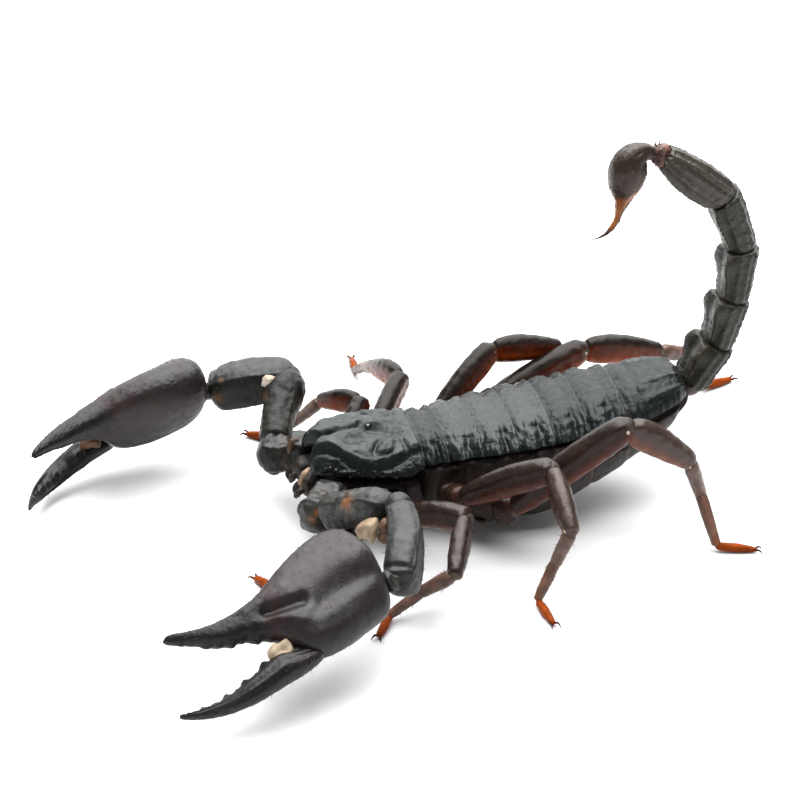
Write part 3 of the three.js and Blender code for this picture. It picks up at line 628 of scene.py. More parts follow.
def makeSternite(index):
    front = -8.6 if index == 0 else sterniteRears[index - 1]
    rear = sterniteRears[index]
    bm = newBody()

    def shape(u, v):
        edge = 0.06 if index < 4 else 0.01
        theta = math.pi * (edge + (1 - 2 * edge) * u)
        start = front - 0.7
        y = start + v * (rear + 0.1 - start)
        s = (y - front) / (rear - front)
        ceiling = marginHeight(y) - 0.8
        width = bodyWidth(y) + flankBulge(y) + 0.02
        square = bellySquareness(y)
        x = width * boxy(math.cos(theta), square)
        tuck = 0.35 * (1 - step(0, 0.2, v))
        rim = 0.25 * (1 - step(0, 0.04, 1 - v))
        relief = 0.12 * noise.noise(Vector((x * 0.8, y * 0.8, 11))) - 0.2 * hump(s - 0.1, 0.1)
        slit = hump((abs(x) - width * 0.55), 0.9) * hump(s - 0.55 - 0.1 * (abs(x) / width - 0.55), 0.06)
        if index == 4:
            slit = 0
            relief += 0.18 * hump(abs(x) / width - 0.35, 0.08) * step(0.4, 0.7, s)
        sine = boxy(math.sin(theta), square)
        close = step(0.72, 1.0, s) if index == 4 else 0.0
        fall = (ceiling - bellyHeight(y) - tuck - rim + relief - 0.35 * slit) * (1 - 0.3 * close)
        tone = 0.25 + 0.5 * hump(s - 0.97, 0.04) - 0.2 * slit
        return (x * (1 - 0.03 * (tuck + rim) - 0.22 * close), y, ceiling - fall * sine), tone

    addSheet(bm, 110, 50 if index == 4 else 36, shape)
    name = f"sternite_{index + 3}"
    finishPiece(name, bm, horn["belly"], [name], thickness=0.3, outward=False)


def makeTrunk():
    makeCarapace()
    makeEyes()
    for index in range(7):
        makeTergite(index)
    makeFlankSkin()
    for index in range(5):
        makeSternite(index)
    print("trunk made")


# joints of each leg: hip, knee, end of patella, end of tibia, ankle, toe
legPose = {
    "left": [
        [(7.6, -24, 7.4), (13.6, -27.6, 5.8), (18, -33.4, 6.2), (17.2, -37.6, 3.4), (14.6, -38.8, 1.1),
         (11.4, -40.4, 0.6)],
        [(10.3, -19.2, 6.7), (17.6, -13, 9.6), (26.6, -16.7, 7.2), (24.4, -20.6, 3.6), (25, -25, 1.1),
         (28.5, -27.4, 0.6)],
        [(10.1, -11.8, 8), (17.5, -1.3, 15.5), (26.5, -1, 11.5), (24.4, -2.4, 5.5), (26.1, -5.2, 1.2),
         (31, -4.4, 0.6)],
        [(12.2, -5.3, 6.5), (16, 9.4, 19.8), (16.4, 18.4, 13.5), (14.4, 20.9, 6.9), (18.9, 22, 1.2),
         (20.4, 27.2, 0.6)],
    ],
    "right": [
        [(-7.6, -24, 7.6), (-12.2, -20.4, 11.4), (-18.6, -24.8, 8.8), (-21.6, -28, 4), (-23.4, -31.2, 1.1),
         (-25.8, -34.4, 0.6)],
        [(-8.8, -19.4, 7.6), (-17.9, -13.4, 11.1), (-28, -14.8, 7.8), (-34.8, -14.8, 4), (-39.3, -15.2, 1.1),
         (-44, -14.8, 0.6)],
        [(-10.1, -10.6, 8), (-15.2, -1, 15.7), (-17.8, 9.8, 13.4), (-18.4, 11.6, 6), (-19.6, 15.4, 1.2),
         (-21.4, 20, 0.6)],
        [(-12.2, -5.3, 6.5), (-15.7, 12.7, 13.8), (-18.2, 25.2, 10.6), (-21.4, 32, 7.2), (-22.8, 34, 1.2),
         (-24.7, 39.2, 0.6)],
    ],
}
legLook = {"girth": [1.65, 1.85, 1.95, 2.1], "base": {"left": 0.24, "right": 0.1},
           "under": {"left": 0.3, "right": 0.42}, "inside": {"left": 0.08, "right": 0.48}, "spot": 0.13,
           "toeHeight": 0.6}


def makeLeg(sideName, number):
    sign = 1 if sideName == "left" else -1
    hip, knee, patellaEnd, tibiaEnd, ankle, toe = [Vector(p) for p in legPose[sideName][number]]
    g = legLook["girth"][number]
    name = f"leg_{sideName}_{number + 1}"
    inner = Vector((sign * 3.2, hip.y - 1.5 if number < 3 else -10.5, 5.6 if number < 3 else 4.6))
    root = hip + (inner - hip).normalized() * 2.4

    def hornTone(start, end, base):
        way = (end - start).normalized()
        inside = 1 if way.cross((up - way * way.z).normalized()).x * -sign > 0 else -1

        def toneAt(t, s, c):
            red = legLook["under"][sideName] * step(-0.3, 0.7, -s)
            red += legLook["inside"][sideName] * step(0.0, 0.7, c * inside) * step(-0.85, -0.3, -s)
            streak = 0.1 * noise.noise(Vector((t * 4, s * 2.5, number + base * 9)))
            return base + red * (1 - 0.5 * step(0.9, 1, t)) - 0.1 * step(0.3, 0.9, s) + streak
        return toneAt

    bm = newBody()
    addTube(bm, 26, 32, limbSweep([inner, root], {
        "over": 0.6, "width": scaled(g, [(0, 0.7), (0.5, 0.95), (1, 0.85)]),
        "height": scaled(g, [(0, 0.8), (0.5, 1.0), (1, 0.95)]), "granules": 0.06, "square": 2.6, "grain": 0.1,
        "rounding": (0.1, 0.15), "tone": lambda t, s, c: 0.22 + 0.1 * s}))
    addTube(bm, 30, 32, limbSweep([root, hip], {
        "first": -0.2, "over": 1.1, "width": scaled(g, [(0, 0.6), (0.4, 0.84), (1, 0.72)]),
        "height": scaled(g, [(0, 0.7), (0.4, 0.98), (1, 0.84)]), "granules": 0.06, "rounding": (0.15, 0.25),
        "bumps": [(0.75, -60, 0.3, 0.15, 30), (0.75, 240, 0.3, 0.15, 30)],
        "tone": lambda t, s, c: 0.22 + 0.12 * hump(t - 0.85, 0.12) + 0.05 * s}))
    # faces turned sideways or down wear the less reflective copy as painted shade; the coxa, and every face
    # of the right legs, wear it all over
    aside = (horn["legFlank"], turnedAside(0.45 if sideName == "left" else 2))  # 2 takes every face
    finishPiece(name + "_coxa", bm, horn["legFlank"])

    # thigh, with a keel above and a channel along each side
    bm = newBody()
    femur = limbSweep([hip, (hip + knee) / 2 + up * 0.35, knee], {
        "first": 0.3, "over": g * 0.5,
        "width": scaled(g, [(0, 0.46), (0.06, 0.58), (0.25, 0.74), (0.6, 0.8), (0.88, 0.76), (1, 0.62)]),
        "height": scaled(g, [(0, 0.52), (0.06, 0.7), (0.25, 0.95), (0.55, 1.06), (0.85, 0.98), (1, 0.72)]),
        "keels": [(90, 0.06, 16), (-90, 0.16, 12), (2, -0.2, 13), (178, -0.2, 13), (30, 0.08, 9),
                  (150, 0.08, 9)],
        "bumps": [(0.93, 20, 0.14, 0.05, 35), (0.93, 160, 0.14, 0.05, 35)],
        "granules": 0.06, "rounding": (0.03, 0.08), "tone": hornTone(hip, knee, legLook["base"][sideName])})
    addTube(bm, 72, 44, femur)
    finishPiece(name + "_femur", bm, horn["legs"], [name + "_femur"], secondFinish=aside)

    bm = newBody()
    pale = sideName == "left" and number > 1
    patella = limbSweep([knee, (knee + patellaEnd) / 2 + up * 0.25, patellaEnd], {
        "first": g * 0.1, "over": g * 0.3,
        "width": scaled(g, [(0, 0.42), (0.1, 0.6), (0.3, 0.74), (0.6, 0.76), (0.85, 0.64), (1, 0.5)]),
        "height": scaled(g, [(0, 0.55), (0.1, 0.9), (0.3, 1.04), (0.55, 0.96), (0.85, 0.72), (1, 0.52)]),
        "keels": [(90, 0.05, 16), (40, 0.06, 9), (-90, 0.12, 12), (2, -0.12, 13), (178, -0.12, 13)],
        "granules": 0.04, "rounding": (0.05, 0.06),
        "tone": (lambda t, s, c: 0.25 + 0.6 * step(-0.2, 0.6, -s) * (1 - 0.6 * step(0.8, 1, t))) if pale
        else hornTone(knee, patellaEnd, legLook["base"][sideName])})
    addTube(bm, 64, 40, patella)
    finishPiece(name + "_patella", bm, horn["patellae" if pale else "legs"], [name + "_patella"],
                secondFinish=None if pale else aside)

    bm = newBody()
    shin = limbSweep([patellaEnd, tibiaEnd], {
        "first": g * 0.12, "over": g * 0.16, "top": (ankle - tibiaEnd) * -1 + up * 3,
        "width": scaled(g, [(0, 0.34), (0.14, 0.48), (0.6, 0.45), (0.92, 0.42), (1, 0.38)]),
        "height": scaled(g, [(0, 0.36), (0.14, 0.55), (0.6, 0.5), (0.92, 0.44), (1, 0.4)]),
        "keels": [(90, 0.05, 14)], "rounding": (0.04, 0.03),
        "tone": lambda t, s, c: 0.45 + 0.15 * t + 0.1 * s})
    addTube(bm, 50, 32, shin)
    ankleTube = limbSweep([tibiaEnd, ankle], {
        "first": -0.1, "over": 0.3, "width": scaled(g, [(0, 0.34), (0.12, 0.38), (0.7, 0.34), (1, 0.28)]),
        "height": scaled(g, [(0, 0.36), (0.12, 0.4), (0.7, 0.36), (1, 0.3)]),
        "rounding": (0.03, 0.05), "tone": lambda t, s, c: 0.5 + 0.4 * step(0.75, 1, t) + 0.1 * s})
    addTube(bm, 44, 28, ankleTube)
    # spurs at the foot of the shin
    way = (ankle - tibiaEnd).normalized()
    for turn in (-1, 1):
        foot = tibiaEnd + way * 0.3 + Vector((0.3 * turn, 0.1 * turn, 0))
        addSpine(bm, 6, 8, foot, foot + way * 0.8 + Vector((0.35 * turn, 0, -0.1)), 0.3)
    finishPiece(name + "_tibia", bm, horn["shins"])
    hairHosts["legs"] += [(shin, 26, 0.75), (ankleTube, 26, 0.75), (patella, 14, 0.6)]

    # the last joint stands on its flat sole, two curved claws at its tip
    bm = newBody()
    flat = (toe - ankle) * Vector((1, 1, 0))
    forward = flat.normalized()
    across = Vector((-forward.y, forward.x, 0))
    high = legLook["toeHeight"]
    heel = Vector((ankle.x, ankle.y, 0.85))
    sole = Vector((ankle.x, ankle.y, high)) + flat * 0.5
    tip = Vector((toe.x, toe.y, 0.42))
    toeTube = limbSweep([heel, sole + up * 0.06, tip], {
        "first": -0.15, "over": 0.1,
        "width": [(0, 0.34), (0.15, 0.5), (0.5, 0.56), (0.85, 0.44), (1, 0.3)],
        "height": [(0, 0.4), (0.15, 0.58), (0.5, 0.64), (0.85, 0.44), (1, 0.3)],
        "rounding": (0.08, 0.1), "tone": lambda t, s, c: 0.92 + 0.08 * s - 0.15 * step(0.8, 1, t)})
    addTube(bm, 40, 28, toeTube)
    for turn in (-1, 1):
        base = tip + across * (0.2 * turn) - forward * 0.15
        addTube(bm, 14, 10, limbSweep(
            [base, base + forward * 0.45 + across * (0.22 * turn) + up * 0.22,
             base + forward * 0.85 + across * (0.38 * turn) + up * 0.02,
             base + forward * 1.0 + across * (0.42 * turn) - up * 0.34], {
                "width": [(0, 0.17), (0.5, 0.12), (1, 0.03)], "height": [(0, 0.19), (0.5, 0.13), (1, 0.03)],
                "grain": 0, "tone": lambda t, s, c: 0.6 - 0.4 * t}))
    for v in bm.verts:
        v.co.z = max(v.co.z, 0.0)
    finishPiece(name + "_foot", bm, horn["feet"], [name + "_foot"])
    hairHosts["legs"].append((toeTube, 22, 0.55))

    # soft skin inside the joints, and the pale knobs they hinge on
    bm = newBody()
    for place, size, toneValue in ((hip, g * 0.6, 0.2), (knee, g * 0.62, 0.02), (patellaEnd, g * 0.44, 0.12),
                                   (tibiaEnd, g * 0.34, 0.35), (ankle, 0.36, 0.5)):
        addBall(bm, place, size, toneValue)
    for place, before, after, size in ((knee, hip, patellaEnd, 0.62), (patellaEnd, knee, tibiaEnd, 0.48)):
        bendSide = (place - before).normalized().cross((after - place).normalized()).normalized()
        for turn in (-1, 1):
            addBall(bm, place + bendSide * (g * size * turn), g * legLook["spot"], 0.85, detail=12)
    finishPiece(name + "_joints", bm, horn["membrane"])


palpPose = {
    "left": {"root": (6.4, -28.8, 8.6), "hip": (9.8, -31.4, 8.3), "elbow": (20.6, -22.8, 14.9),
             "wrist": (33, -25.8, 12.2), "aim": (41.8, -55.6, 9.4), "across": (-0.84, -0.29, 0.46),
             "curl": 4.4, "movableCurl": 4.4, "closing": 0.0, "swell": (0, 0),
             "spread": {"fixed": (0, 0), "movable": (0, 0)},
             "femur": {"over": -0.9, "bow": (0, 0, 0.3), "end": 2.6},
             "forearm": {"top": (0.1, -0.12, 1), "first": -0.5, "over": 1.0, "bow": (0, 1.0, 0.2),
                         "drop": (0, 0.4, -1.3), "square": 3.0,
                         "width": [(0, 1.2), (0.1, 1.8), (0.3, 2.2), (0.6, 2.4), (0.88, 2.3), (1, 1.8)],
                         "height": [(0, 1.5), (0.1, 2.2), (0.3, 2.7), (0.6, 3.2), (0.88, 3.2), (1, 2.6)]},
             "patches": [((16.0, -28.2, 13.2), 1.9), ((11.3, -32.2, 8.6), 1.3), ((12.0, -32.0, 10.0), 1.0),
                         ((33, -25.4, 10.6), 1.0)],
             "skin": [([(20.2, -28.6, 11.7), (20.8, -27.3, 12.0), (21.5, -25.7, 11.9)],
                       [(0, 0.25), (0.3, 1.0), (0.7, 1.6), (1, 1.9)], 0.92),
                      ([(22.2, -25.1, 14.4), (22.5, -24.9, 12.8), (22.4, -25.2, 10.6)],
                       [(0, 0.7), (0.5, 0.85), (1, 0.7)], 0.42)]},
    "right": {"root": (-5.5, -29.4, 8.6), "hip": (-7.2, -34, 7.9), "elbow": (-18.6, -29.5, 13.2),
              "wrist": (-21.9, -39.9, 10.6), "aim": (-13.9, -68.8, 9.7), "across": (0.515, 0.115, 0.85),
              "curl": 5.8, "movableCurl": 9.0, "closing": 0.3, "swell": (0.9, 1.1),
              "spread": {"fixed": (1.3, 1.1), "movable": (2.1, 1.3)},
              "femur": {"over": 1.2, "bow": (0, -0.3, 0), "end": 3.0},
              "forearm": {"top": (0, 0, 1), "first": -1.7, "over": 0.7, "bow": (0, 0, 0.35),
                          "drop": (0, 0, 0), "square": 2.5,
                          "width": [(0, 1.8), (0.1, 2.6), (0.3, 3.1), (0.6, 3.3), (0.88, 2.8), (1, 2.0)],
                          "height": [(0, 1.7), (0.1, 2.5), (0.3, 3.0), (0.6, 3.2), (0.88, 2.9), (1, 2.1)]},
              "patches": [((-15, -33, 12), 1.7), ((-18.5, -39.9, 11.0), 1.5), ((-19, -39.1, 14.0), 0.8)],
              "skin": [([(-16.4, -31.8, 14.9), (-16.6, -32.8, 14.2), (-16.8, -33.7, 13.5)],
                        [(0, 0.5), (0.5, 0.7), (1, 0.45)], 1.15)]},
}
# stations of the hand: along, low side, high side, half thickness
handStations = [
    (2.1, -1.4, 5, 1.6), (2.6, -2.6, 7, 2.5), (3.5, -3.9, 8.6, 3.2), (4.9, -4.5, 9.4, 3.6),
    (7.1, -5.1, 9.5, 3.8), (9.9, -5.8, 8.8, 3.8), (13.7, -6, 7.2, 3.5), (15.6, -4.9, 6.2, 3.1),
    (16.9, -3.2, 5.5, 2.7), (18.6, -1.2, 4.8, 2.2), (21.5, 0.2, 4.2, 1.8), (24.8, 1.2, 4.2, 1.5),
    (27.5, 3.1, 5, 1), (29.5, 4.4, 5.8, 0.6), (30.2, 5, 5.7, 0.35)]
movableStations = [
    (14.2, -6.3, -5.0, 0.9), (15.4, -6.7, -4.4, 1.3), (17.3, -7.1, -4.0, 1.7), (19.3, -7.3, -3.5, 1.8),
    (21, -7.5, -4, 1.7), (23.9, -7.7, -4.8, 1.5), (27.3, -7.3, -5.4, 1.1), (30.2, -6.3, -5, 0.75),
    (31.8, -5.3, -4.5, 0.5), (32.6, -4.8, -4.1, 0.35)]
curlStart, curlReach = 13.3, 19.2
fingerJoint = Vector((-5.5, 17, 0))
teeth = {
    "fixed": [(18.9, 0.35, 0.5), (20.5, 0.7, 0.7), (22.1, 0.25, 0.35), (23.4, 0.6, 0.6), (24.9, 0.25, 0.4),
              (26.3, 0.45, 0.5), (27.6, 0.2, 0.35), (28.7, 0.25, 0.35)],
    "movable": [(19.0, 0.3, 0.5), (21.3, 0.75, 0.75), (22.9, 0.2, 0.35), (24.3, 0.6, 0.6), (25.6, 0.2, 0.35),
                (27.0, 0.5, 0.6), (28.6, 0.2, 0.35), (29.9, 0.28, 0.45)],
}


def handFrame(pose, sign):
    wrist, aim, across = Vector(pose["wrist"]), Vector(pose["aim"]), Vector(pose["across"])
    forward = (aim - wrist).normalized()
    back = across.cross(forward).normalized() * sign
    sideways = forward.cross(back) * sign  # towards the fixed finger
    return wrist, sideways, forward, back


def clawShape(stations, pose, sign, look):
    wrist, sideways, forward, back = handFrame(pose, sign)
    low = smoothCurve([(s[0], s[1]) for s in stations])
    high = smoothCurve([(s[0], s[2]) for s in stations])
    thick = smoothCurve([(s[0], s[3]) for s in stations])
    first, last = stations[0][0] - 0.35, stations[-1][0] + 0.15
    turnCos, turnSin = math.cos(look["closing"]), math.sin(-look["closing"])

    def shape(t, angle):
        y = first + t * (last - first)
        taper = endRound(t, *look["rounding"])
        a = low(y) - pose["swell"][0] * hump(y - 10.5, 4.5)
        b = high(y) - pose["swell"][1] * hump(y - 6.5, 4.5)
        c, s = math.cos(angle), math.sin(angle)
        x = (a + b) / 2 + boxy(c, 2.3) * (b - a) / 2 * taper
        z = boxy(s, 2.2) * thick(y) * taper
        if c * look["toothSide"] > 0:
            bite = sum(size * hump(y - place, wide) for place, size, wide in look["teeth"])
            bite += 0.12 * grains(Vector((y, s * 2, 3)), 0.5) * step(18, 20, y)
            x += look["toothSide"] * bite * hump(s, 0.42) * taper
        p = Vector((x, y, z))
        grain = look["granules"](x, y, s) * grains(p, 0.5) + 0.05 * noise.noise(p * 0.9)
        lift = look["relief"](x, y, s, a, b)
        z += (lift * (1 if s > 0 else -1) * abs(s) + grain * 0.8 * s) * taper
        x += grain * 0.8 * c * taper
        whole, inner = pose["spread"]["movable" if look["toothSide"] > 0 else "fixed"]
        x -= look["toothSide"] * (whole + inner * max(0, c * look["toothSide"])) * hump(y - 25, 5.5)
        z -= look["curl"] * max(0.0, (y - curlStart) / curlReach) ** 2
        if look["closing"]:
            dx, dy = x - fingerJoint.x, y - fingerJoint.y
            x = fingerJoint.x + dx * turnCos - dy * turnSin
            y = fingerJoint.y + dx * turnSin + dy * turnCos
        return wrist + sideways * x + forward * y + back * z, min(max(look["tone"](p.x, p.y, s), 0), 1)
    return shape


def makePalp(sideName):
    sign = 1 if sideName == "left" else -1
    pose = palpPose[sideName]
    root, hip, elbow = [Vector(pose[k]) for k in ("root", "hip", "elbow")]
    wrist, sideways, forward, back = handFrame(pose, sign)
    name = f"palp_{sideName}_"

    def patched(shape):
        def toned(t, angle):
            p, tone = shape(t, angle)
            for place, size in pose["patches"]:
                blot = hump((p - Vector(place)).length * (1 + 0.3 * noise.noise(p * 0.7)), size)
                tone = max(tone, 0.88 * blot * (0.96 + 0.16 * noise.noise(p * 1.5)))
            return p, tone
        return toned

    bm = newBody()
    addTube(bm, 70, 60, patched(limbSweep([root, hip], {
        "first": -1.4, "over": 2.4, "width": [(0, 1.8), (0.25, 2.5), (0.5, 2.2), (0.8, 2.6), (1, 2.1)],
        "height": [(0, 1.9), (0.25, 2.6), (0.5, 2.3), (0.8, 2.8), (1, 2.2)], "rounding": (0.12, 0.3),
        "granules": 0.12, "granuleSize": 0.6, "grain": 0.22,
        "keels": [(60, 0.3, 14), (130, 0.25, 12), (-50, 0.3, 14)],
        "tone": lambda t, s, c: 0.2 + 0.2 * hump(t - 0.5, 0.1)})))
    addBall(bm, hip, 2.0, 0.1, detail=24)
    # faces turned sideways or down wear the less reflective copy as painted shade
    aside = (horn["armFlank"], turnedAside(0.1 if sideName == "left" else 0.6))
    finishPiece(name + "trochanter", bm, horn["arms"], [name + "trochanter"], secondFinish=aside)

    look = pose["femur"]
    end = look["end"]
    bm = newBody()
    femur = patched(limbSweep([hip, (hip + elbow) / 2 + Vector(look["bow"]), elbow], {
        "first": 1.4, "over": look["over"], "square": 2.2,
        "width": [(0, 1.7), (0.1, 2.2), (0.4, 2.35), (0.75, end * 0.97), (0.9, end), (1, end * 0.85)],
        "height": [(0, 1.7), (0.1, 2.3), (0.4, 2.5), (0.75, end), (0.9, end), (1, end * 0.85)],
        "rounding": (0.1, 0.3), "granules": 0.05, "granuleSize": 0.5, "grain": 0.09,
        "keels": [(40, 0.14, 9), (140, 0.14, 9), (-45, 0.12, 9), (-135, 0.12, 9)],
        "tone": lambda t, s, c: 0.26 - 0.2 * step(0.5, 0.8, t)}))
    addTube(bm, 110, 80, femur)
    # the right thigh wears the less reflective copy all over, painted shade
    finish = horn["arms" if sideName == "left" else "armFlank"]
    finishPiece(name + "femur", bm, finish, [name + "femur"], secondFinish=aside)

    look = pose["forearm"]
    bm = newBody()
    forearm = patched(limbSweep([elbow, (elbow + wrist) / 2 + Vector(look["bow"]),
                                 wrist + Vector(look["drop"])], {
        "first": look["first"], "over": look["over"], "square": look["square"], "top": look["top"],
        "width": look["width"], "height": look["height"],
        "rounding": (0.2, 0.16), "granules": 0.025, "granuleSize": 0.5, "grain": 0.05,
        "keels": [(42, 0.16, 7), (138, 0.16, 7), (-45, 0.18, 9), (-135, 0.18, 9), (0, -0.12, 18),
                  (180, -0.1, 18)],
        "bumps": [(0.86, 90, -0.35, 0.03, 50), (0.93, 60, 0.3, 0.03, 30)],
        "tone": lambda t, s, c: 0.04}))
    addTube(bm, 110, 80, forearm)
    addBall(bm, elbow, 1.9, 0.0, detail=24)
    addTube(bm, 30, 36, limbSweep([wrist - forward * 0.8, wrist + forward * 2.4], {
        "width": [(0, 1.3), (0.5, 1.2), (1, 1.5)], "height": [(0, 1.4), (0.5, 1.25), (1, 1.5)],
        "rounding": (0.3, 0.3), "grain": 0.25, "granules": 0.06,
        "tone": lambda t, s, c: 0.05 + 0.4 * hump(t - 0.5, 0.1)}))
    finishPiece(name + "patella", bm, horn["arms"], [name + "patella"], secondFinish=aside)

    def handRelief(x, y, s, a, b):
        across = (x - a) / max(b - a, 0.1)
        if s < 0:
            return (0.2 * hump(across - 0.25, 0.05) * step(3, 6, y)
                    - 0.15 * hump(across - 0.6, 0.2) * step(3, 6, y))
        # the furrow between the upper dome and the lower lobe: soft above, crisp below
        off = -0.98 * (x - 0.7) - 0.18 * (y - 4.0) + 0.25 * math.sin((y - 4) * 0.33)
        reach = step(2.0, 5.0, y) * (1 - step(11.0, 14.6, y))
        deep = 0.45 + 0.4 * step(5, 12, y)
        furrow = (-deep * hump(off, 2.1 if off < 0 else 1.05) + 0.08 * hump(off - 1.9, 1.0)) * reach
        dome = 1.15 * hump(x - 3.4, 3.0) * hump(y - 4.4, 3.8)
        valley = -0.95 * nearLine(x, y, (0.8, 13.9), (1.6, 18.2), 0.8)
        ridge = (0.25 * nearLine(x, y, (-1.6, 15.0), (0.8, 18.2), 0.7)
                 + 0.3 * nearLine(x, y, (3.9, 15.5), (3.4, 20.5), 0.7))
        side = 0.15 * hump(across - 0.13, 0.05) * step(5, 8, y) * (1 - step(13, 16, y))
        return furrow + dome + valley + ridge + side

    def handTone(x, y, s):
        band = 0.28 * step(-0.1, 0.35, 1 - abs(x - 4.5) / 3.5) * (1 if s < 0 else 0.5)
        return 0.08 + band + 0.6 * step(15, 21, y)

    bm = newBody()
    hand = clawShape(handStations, pose, sign, {
        "closing": 0.0, "curl": pose["curl"], "rounding": (0.04, 0.02), "teeth": teeth["fixed"],
        "toothSide": -1, "relief": handRelief,
        "granules": lambda x, y, s: 0.025 + 0.12 * step(5.5, 8, x) + 0.07 * step(15, 19, y),
        "tone": handTone})
    addTube(bm, 210, 120, hand)

    def pastPalm(face, middle):
        return (middle - wrist).dot(forward) > 16.5 + 2 * noise.noise(middle * 0.8)

    finishPiece(name + "hand", bm, horn["claws"], [name + "hand"], secondFinish=(horn["fingers"], pastPalm))

    def fingerRelief(x, y, s, a, b):
        across = (x - a) / max(b - a, 0.1)
        return (0.22 * hump(across - 0.42, 0.1) * step(18, 20, y) * (1 - step(28, 31, y))
                - 0.15 * hump(across - 0.7, 0.1))

    bm = newBody()
    finger = clawShape(movableStations, pose, sign, {
        "closing": pose["closing"], "curl": pose["movableCurl"], "rounding": (0.04, 0.02),
        "teeth": teeth["movable"], "toothSide": 1, "relief": fingerRelief, "granules": lambda x, y, s: 0.1,
        "tone": lambda x, y, s: 0.6 + 0.35 * step(17, 24, y)})
    addTube(bm, 140, 72, finger)
    finishPiece(name + "movable_finger", bm, horn["fingers"], [name + "movable_finger"])
    hairHosts["claws"] += [(hand, 170, 0.8), (finger, 70, 0.8), (forearm, 60, 0.8), (femur, 50, 0.8)]

    def skinTone(base):
        # pale skin is darker above, most at its start
        return lambda t, s, c: base - (0.25 * step(-0.2, 0.7, s) * (1 - t) + 0.12) * (base > 0.7)

    # soft skin of the joints, bulging on the inside of each bend
    bm = newBody()
    for line, girth, toneValue in pose["skin"]:
        addTube(bm, 34, 30, limbSweep(line, {
            "width": girth, "height": girth, "rounding": (0.25, 0.25), "grain": 0.26, "granules": 0.1,
            "square": 2.4, "keels": [(-30, 0.1, 20), (150, 0.1, 20)],
            "tone": skinTone(toneValue)}))
    joint = wrist + sideways * -3.6 + forward * 16.9 - back * 0.4
    addTube(bm, 30, 30, limbSweep([joint, joint + forward * 3.3 + sideways * 0.9], {
        "width": [(0, 1.4), (1, 1.2)], "height": [(0, 1.5), (1, 1.2)], "rounding": (0.4, 0.4), "grain": 0.35,
        "top": back, "tone": lambda t, s, c: 0.62 + 0.2 * s}))
    finishPiece(name + "joints", bm, horn["membrane"])


# the tail's joints from the body to the neck, then the line of the bulb and sting
tailPose = [
    (0, 23.5, 16), (0.2, 27, 21.8), (0.6, 28.8, 28.7), (0.2, 29.8, 36.2), (0.3, 26.9, 44.2),
    (0.2, 17.9, 51.3), (0.2, 17.3, 51.6), (0.2, 15.1, 52), (0.2, 13.3, 49.8), (0.3, 12.5, 44.7),
    (0.6, 11.6, 42.1), (0.8, 10.1, 40.7), (0.9, 8.4, 40.2)]
# along the segment: girth, and girth of its inner side
ringProfile = [(0, 0.84, 0.82), (0.06, 0.94, 0.88), (0.3, 0.98, 0.92), (0.6, 1.0, 1.0), (0.82, 1.02, 1.0),
               (0.95, 1.0, 1.0), (1, 0.92, 0.9)]
lastProfile = [(0, 0.82, 0.84), (0.07, 0.95, 1), (0.3, 1, 1.16), (0.55, 0.98, 1.13), (0.8, 0.84, 0.9),
               (0.94, 0.7, 0.7), (1, 0.58, 0.58)]
tailLook = {
    "sizes": [(3, 2.5), (2.8, 2.4), (2.65, 2.35), (2.5, 2.35), (2.5, 2.5)],
    "crest": [1.0, 0.85, 0.75, 0.3, 0.0],
    "keels": [(50, 0.36, 8), (130, 0.36, 8), (14, 0.24, 8), (166, 0.24, 8), (-14, 0.14, 7), (-166, 0.14, 7),
              (-38, 0.26, 7), (-142, 0.26, 7), (-70, 0.22, 7), (-110, 0.22, 7)],
}


def makeTailSegment(index):
    look = tailLook
    joints = [Vector(p) for p in tailPose]
    start, end = joints[index], joints[index + 1]
    here = (end - start).normalized()
    before = here if index == 0 else (start - joints[index - 1]).normalized()
    after = here if index == 4 else (joints[index + 2] - end).normalized()
    startNormal, endNormal = (before + here).normalized(), (after + here).normalized()
    width, height = look["sizes"][index]
    profile = lastProfile if index == 4 else ringProfile
    girth = smoothCurve([(p[0], p[1]) for p in profile])
    inner = smoothCurve([(p[0], p[2]) for p in profile])
    length = (end - start).length
    lap = 0.5 if index < 4 else 0.1

    def shape(t, angle):
        place = -0.1 + t * (length + lap)
        along = startNormal.lerp(endNormal, t).normalized()
        top = Vector((0, -1, 0.05))
        top = (top - along * top.dot(along)).normalized()
        side = top.cross(along)
        taper = endRound(t, 0.03, 0.05)
        c, s = math.cos(angle), math.sin(angle)
        w = width * girth(t) * taper
        h = height * (inner(t) if s > 0 else girth(t)) * taper
        lift = 0.0
        for keelAngle, keelHeight, keelWidth in look["keels"]:
            grainyShadedWall = 0.75 + 0.5 * noise.noise(Vector((place * 1.9, keelAngle * 0.7, index)))
            lift += (keelHeight * hump(around(angle, keelAngle), math.radians(keelWidth)) * grainyShadedWall
                     * step(0.02, 0.15, t))
        # the two inner keels rise to a rounded crest near the end
        crest = look["crest"][index] * hump(t - 0.76, 0.24)
        lift += crest * (hump(around(angle, 52), 0.42) + hump(around(angle, 128), 0.42))
        lift -= 0.2 * hump(around(angle, 90), 0.3) * step(0.1, 0.3, t)
        p = start + here * place + side * (boxy(c, 2.08) * w) + top * (boxy(s, 2.08) * h)
        p += (side * c + top * s) * (taper * (lift + 0.1 * noise.noise(p * 0.8) + 0.08 * grains(p, 0.42)))
        # tone rises on the keel tops: painted highlight along the keels
        tone = 0.12 + 1.5 * max(0, lift - crest * 0.9) + 0.15 * step(0.88, 1, t)
        return p, min(tone, 1)

    bm = newBody()
    addTube(bm, 90, 110, shape)
    name = f"tail_{index + 1}"
    finish = {0: "tailRoot", 4: "tailEnd"}.get(index, "tail")
    finishPiece(name, bm, horn[finish], [name])
    hairHosts["tail"].append((shape, 26 + 12 * (index == 4), 0.9))


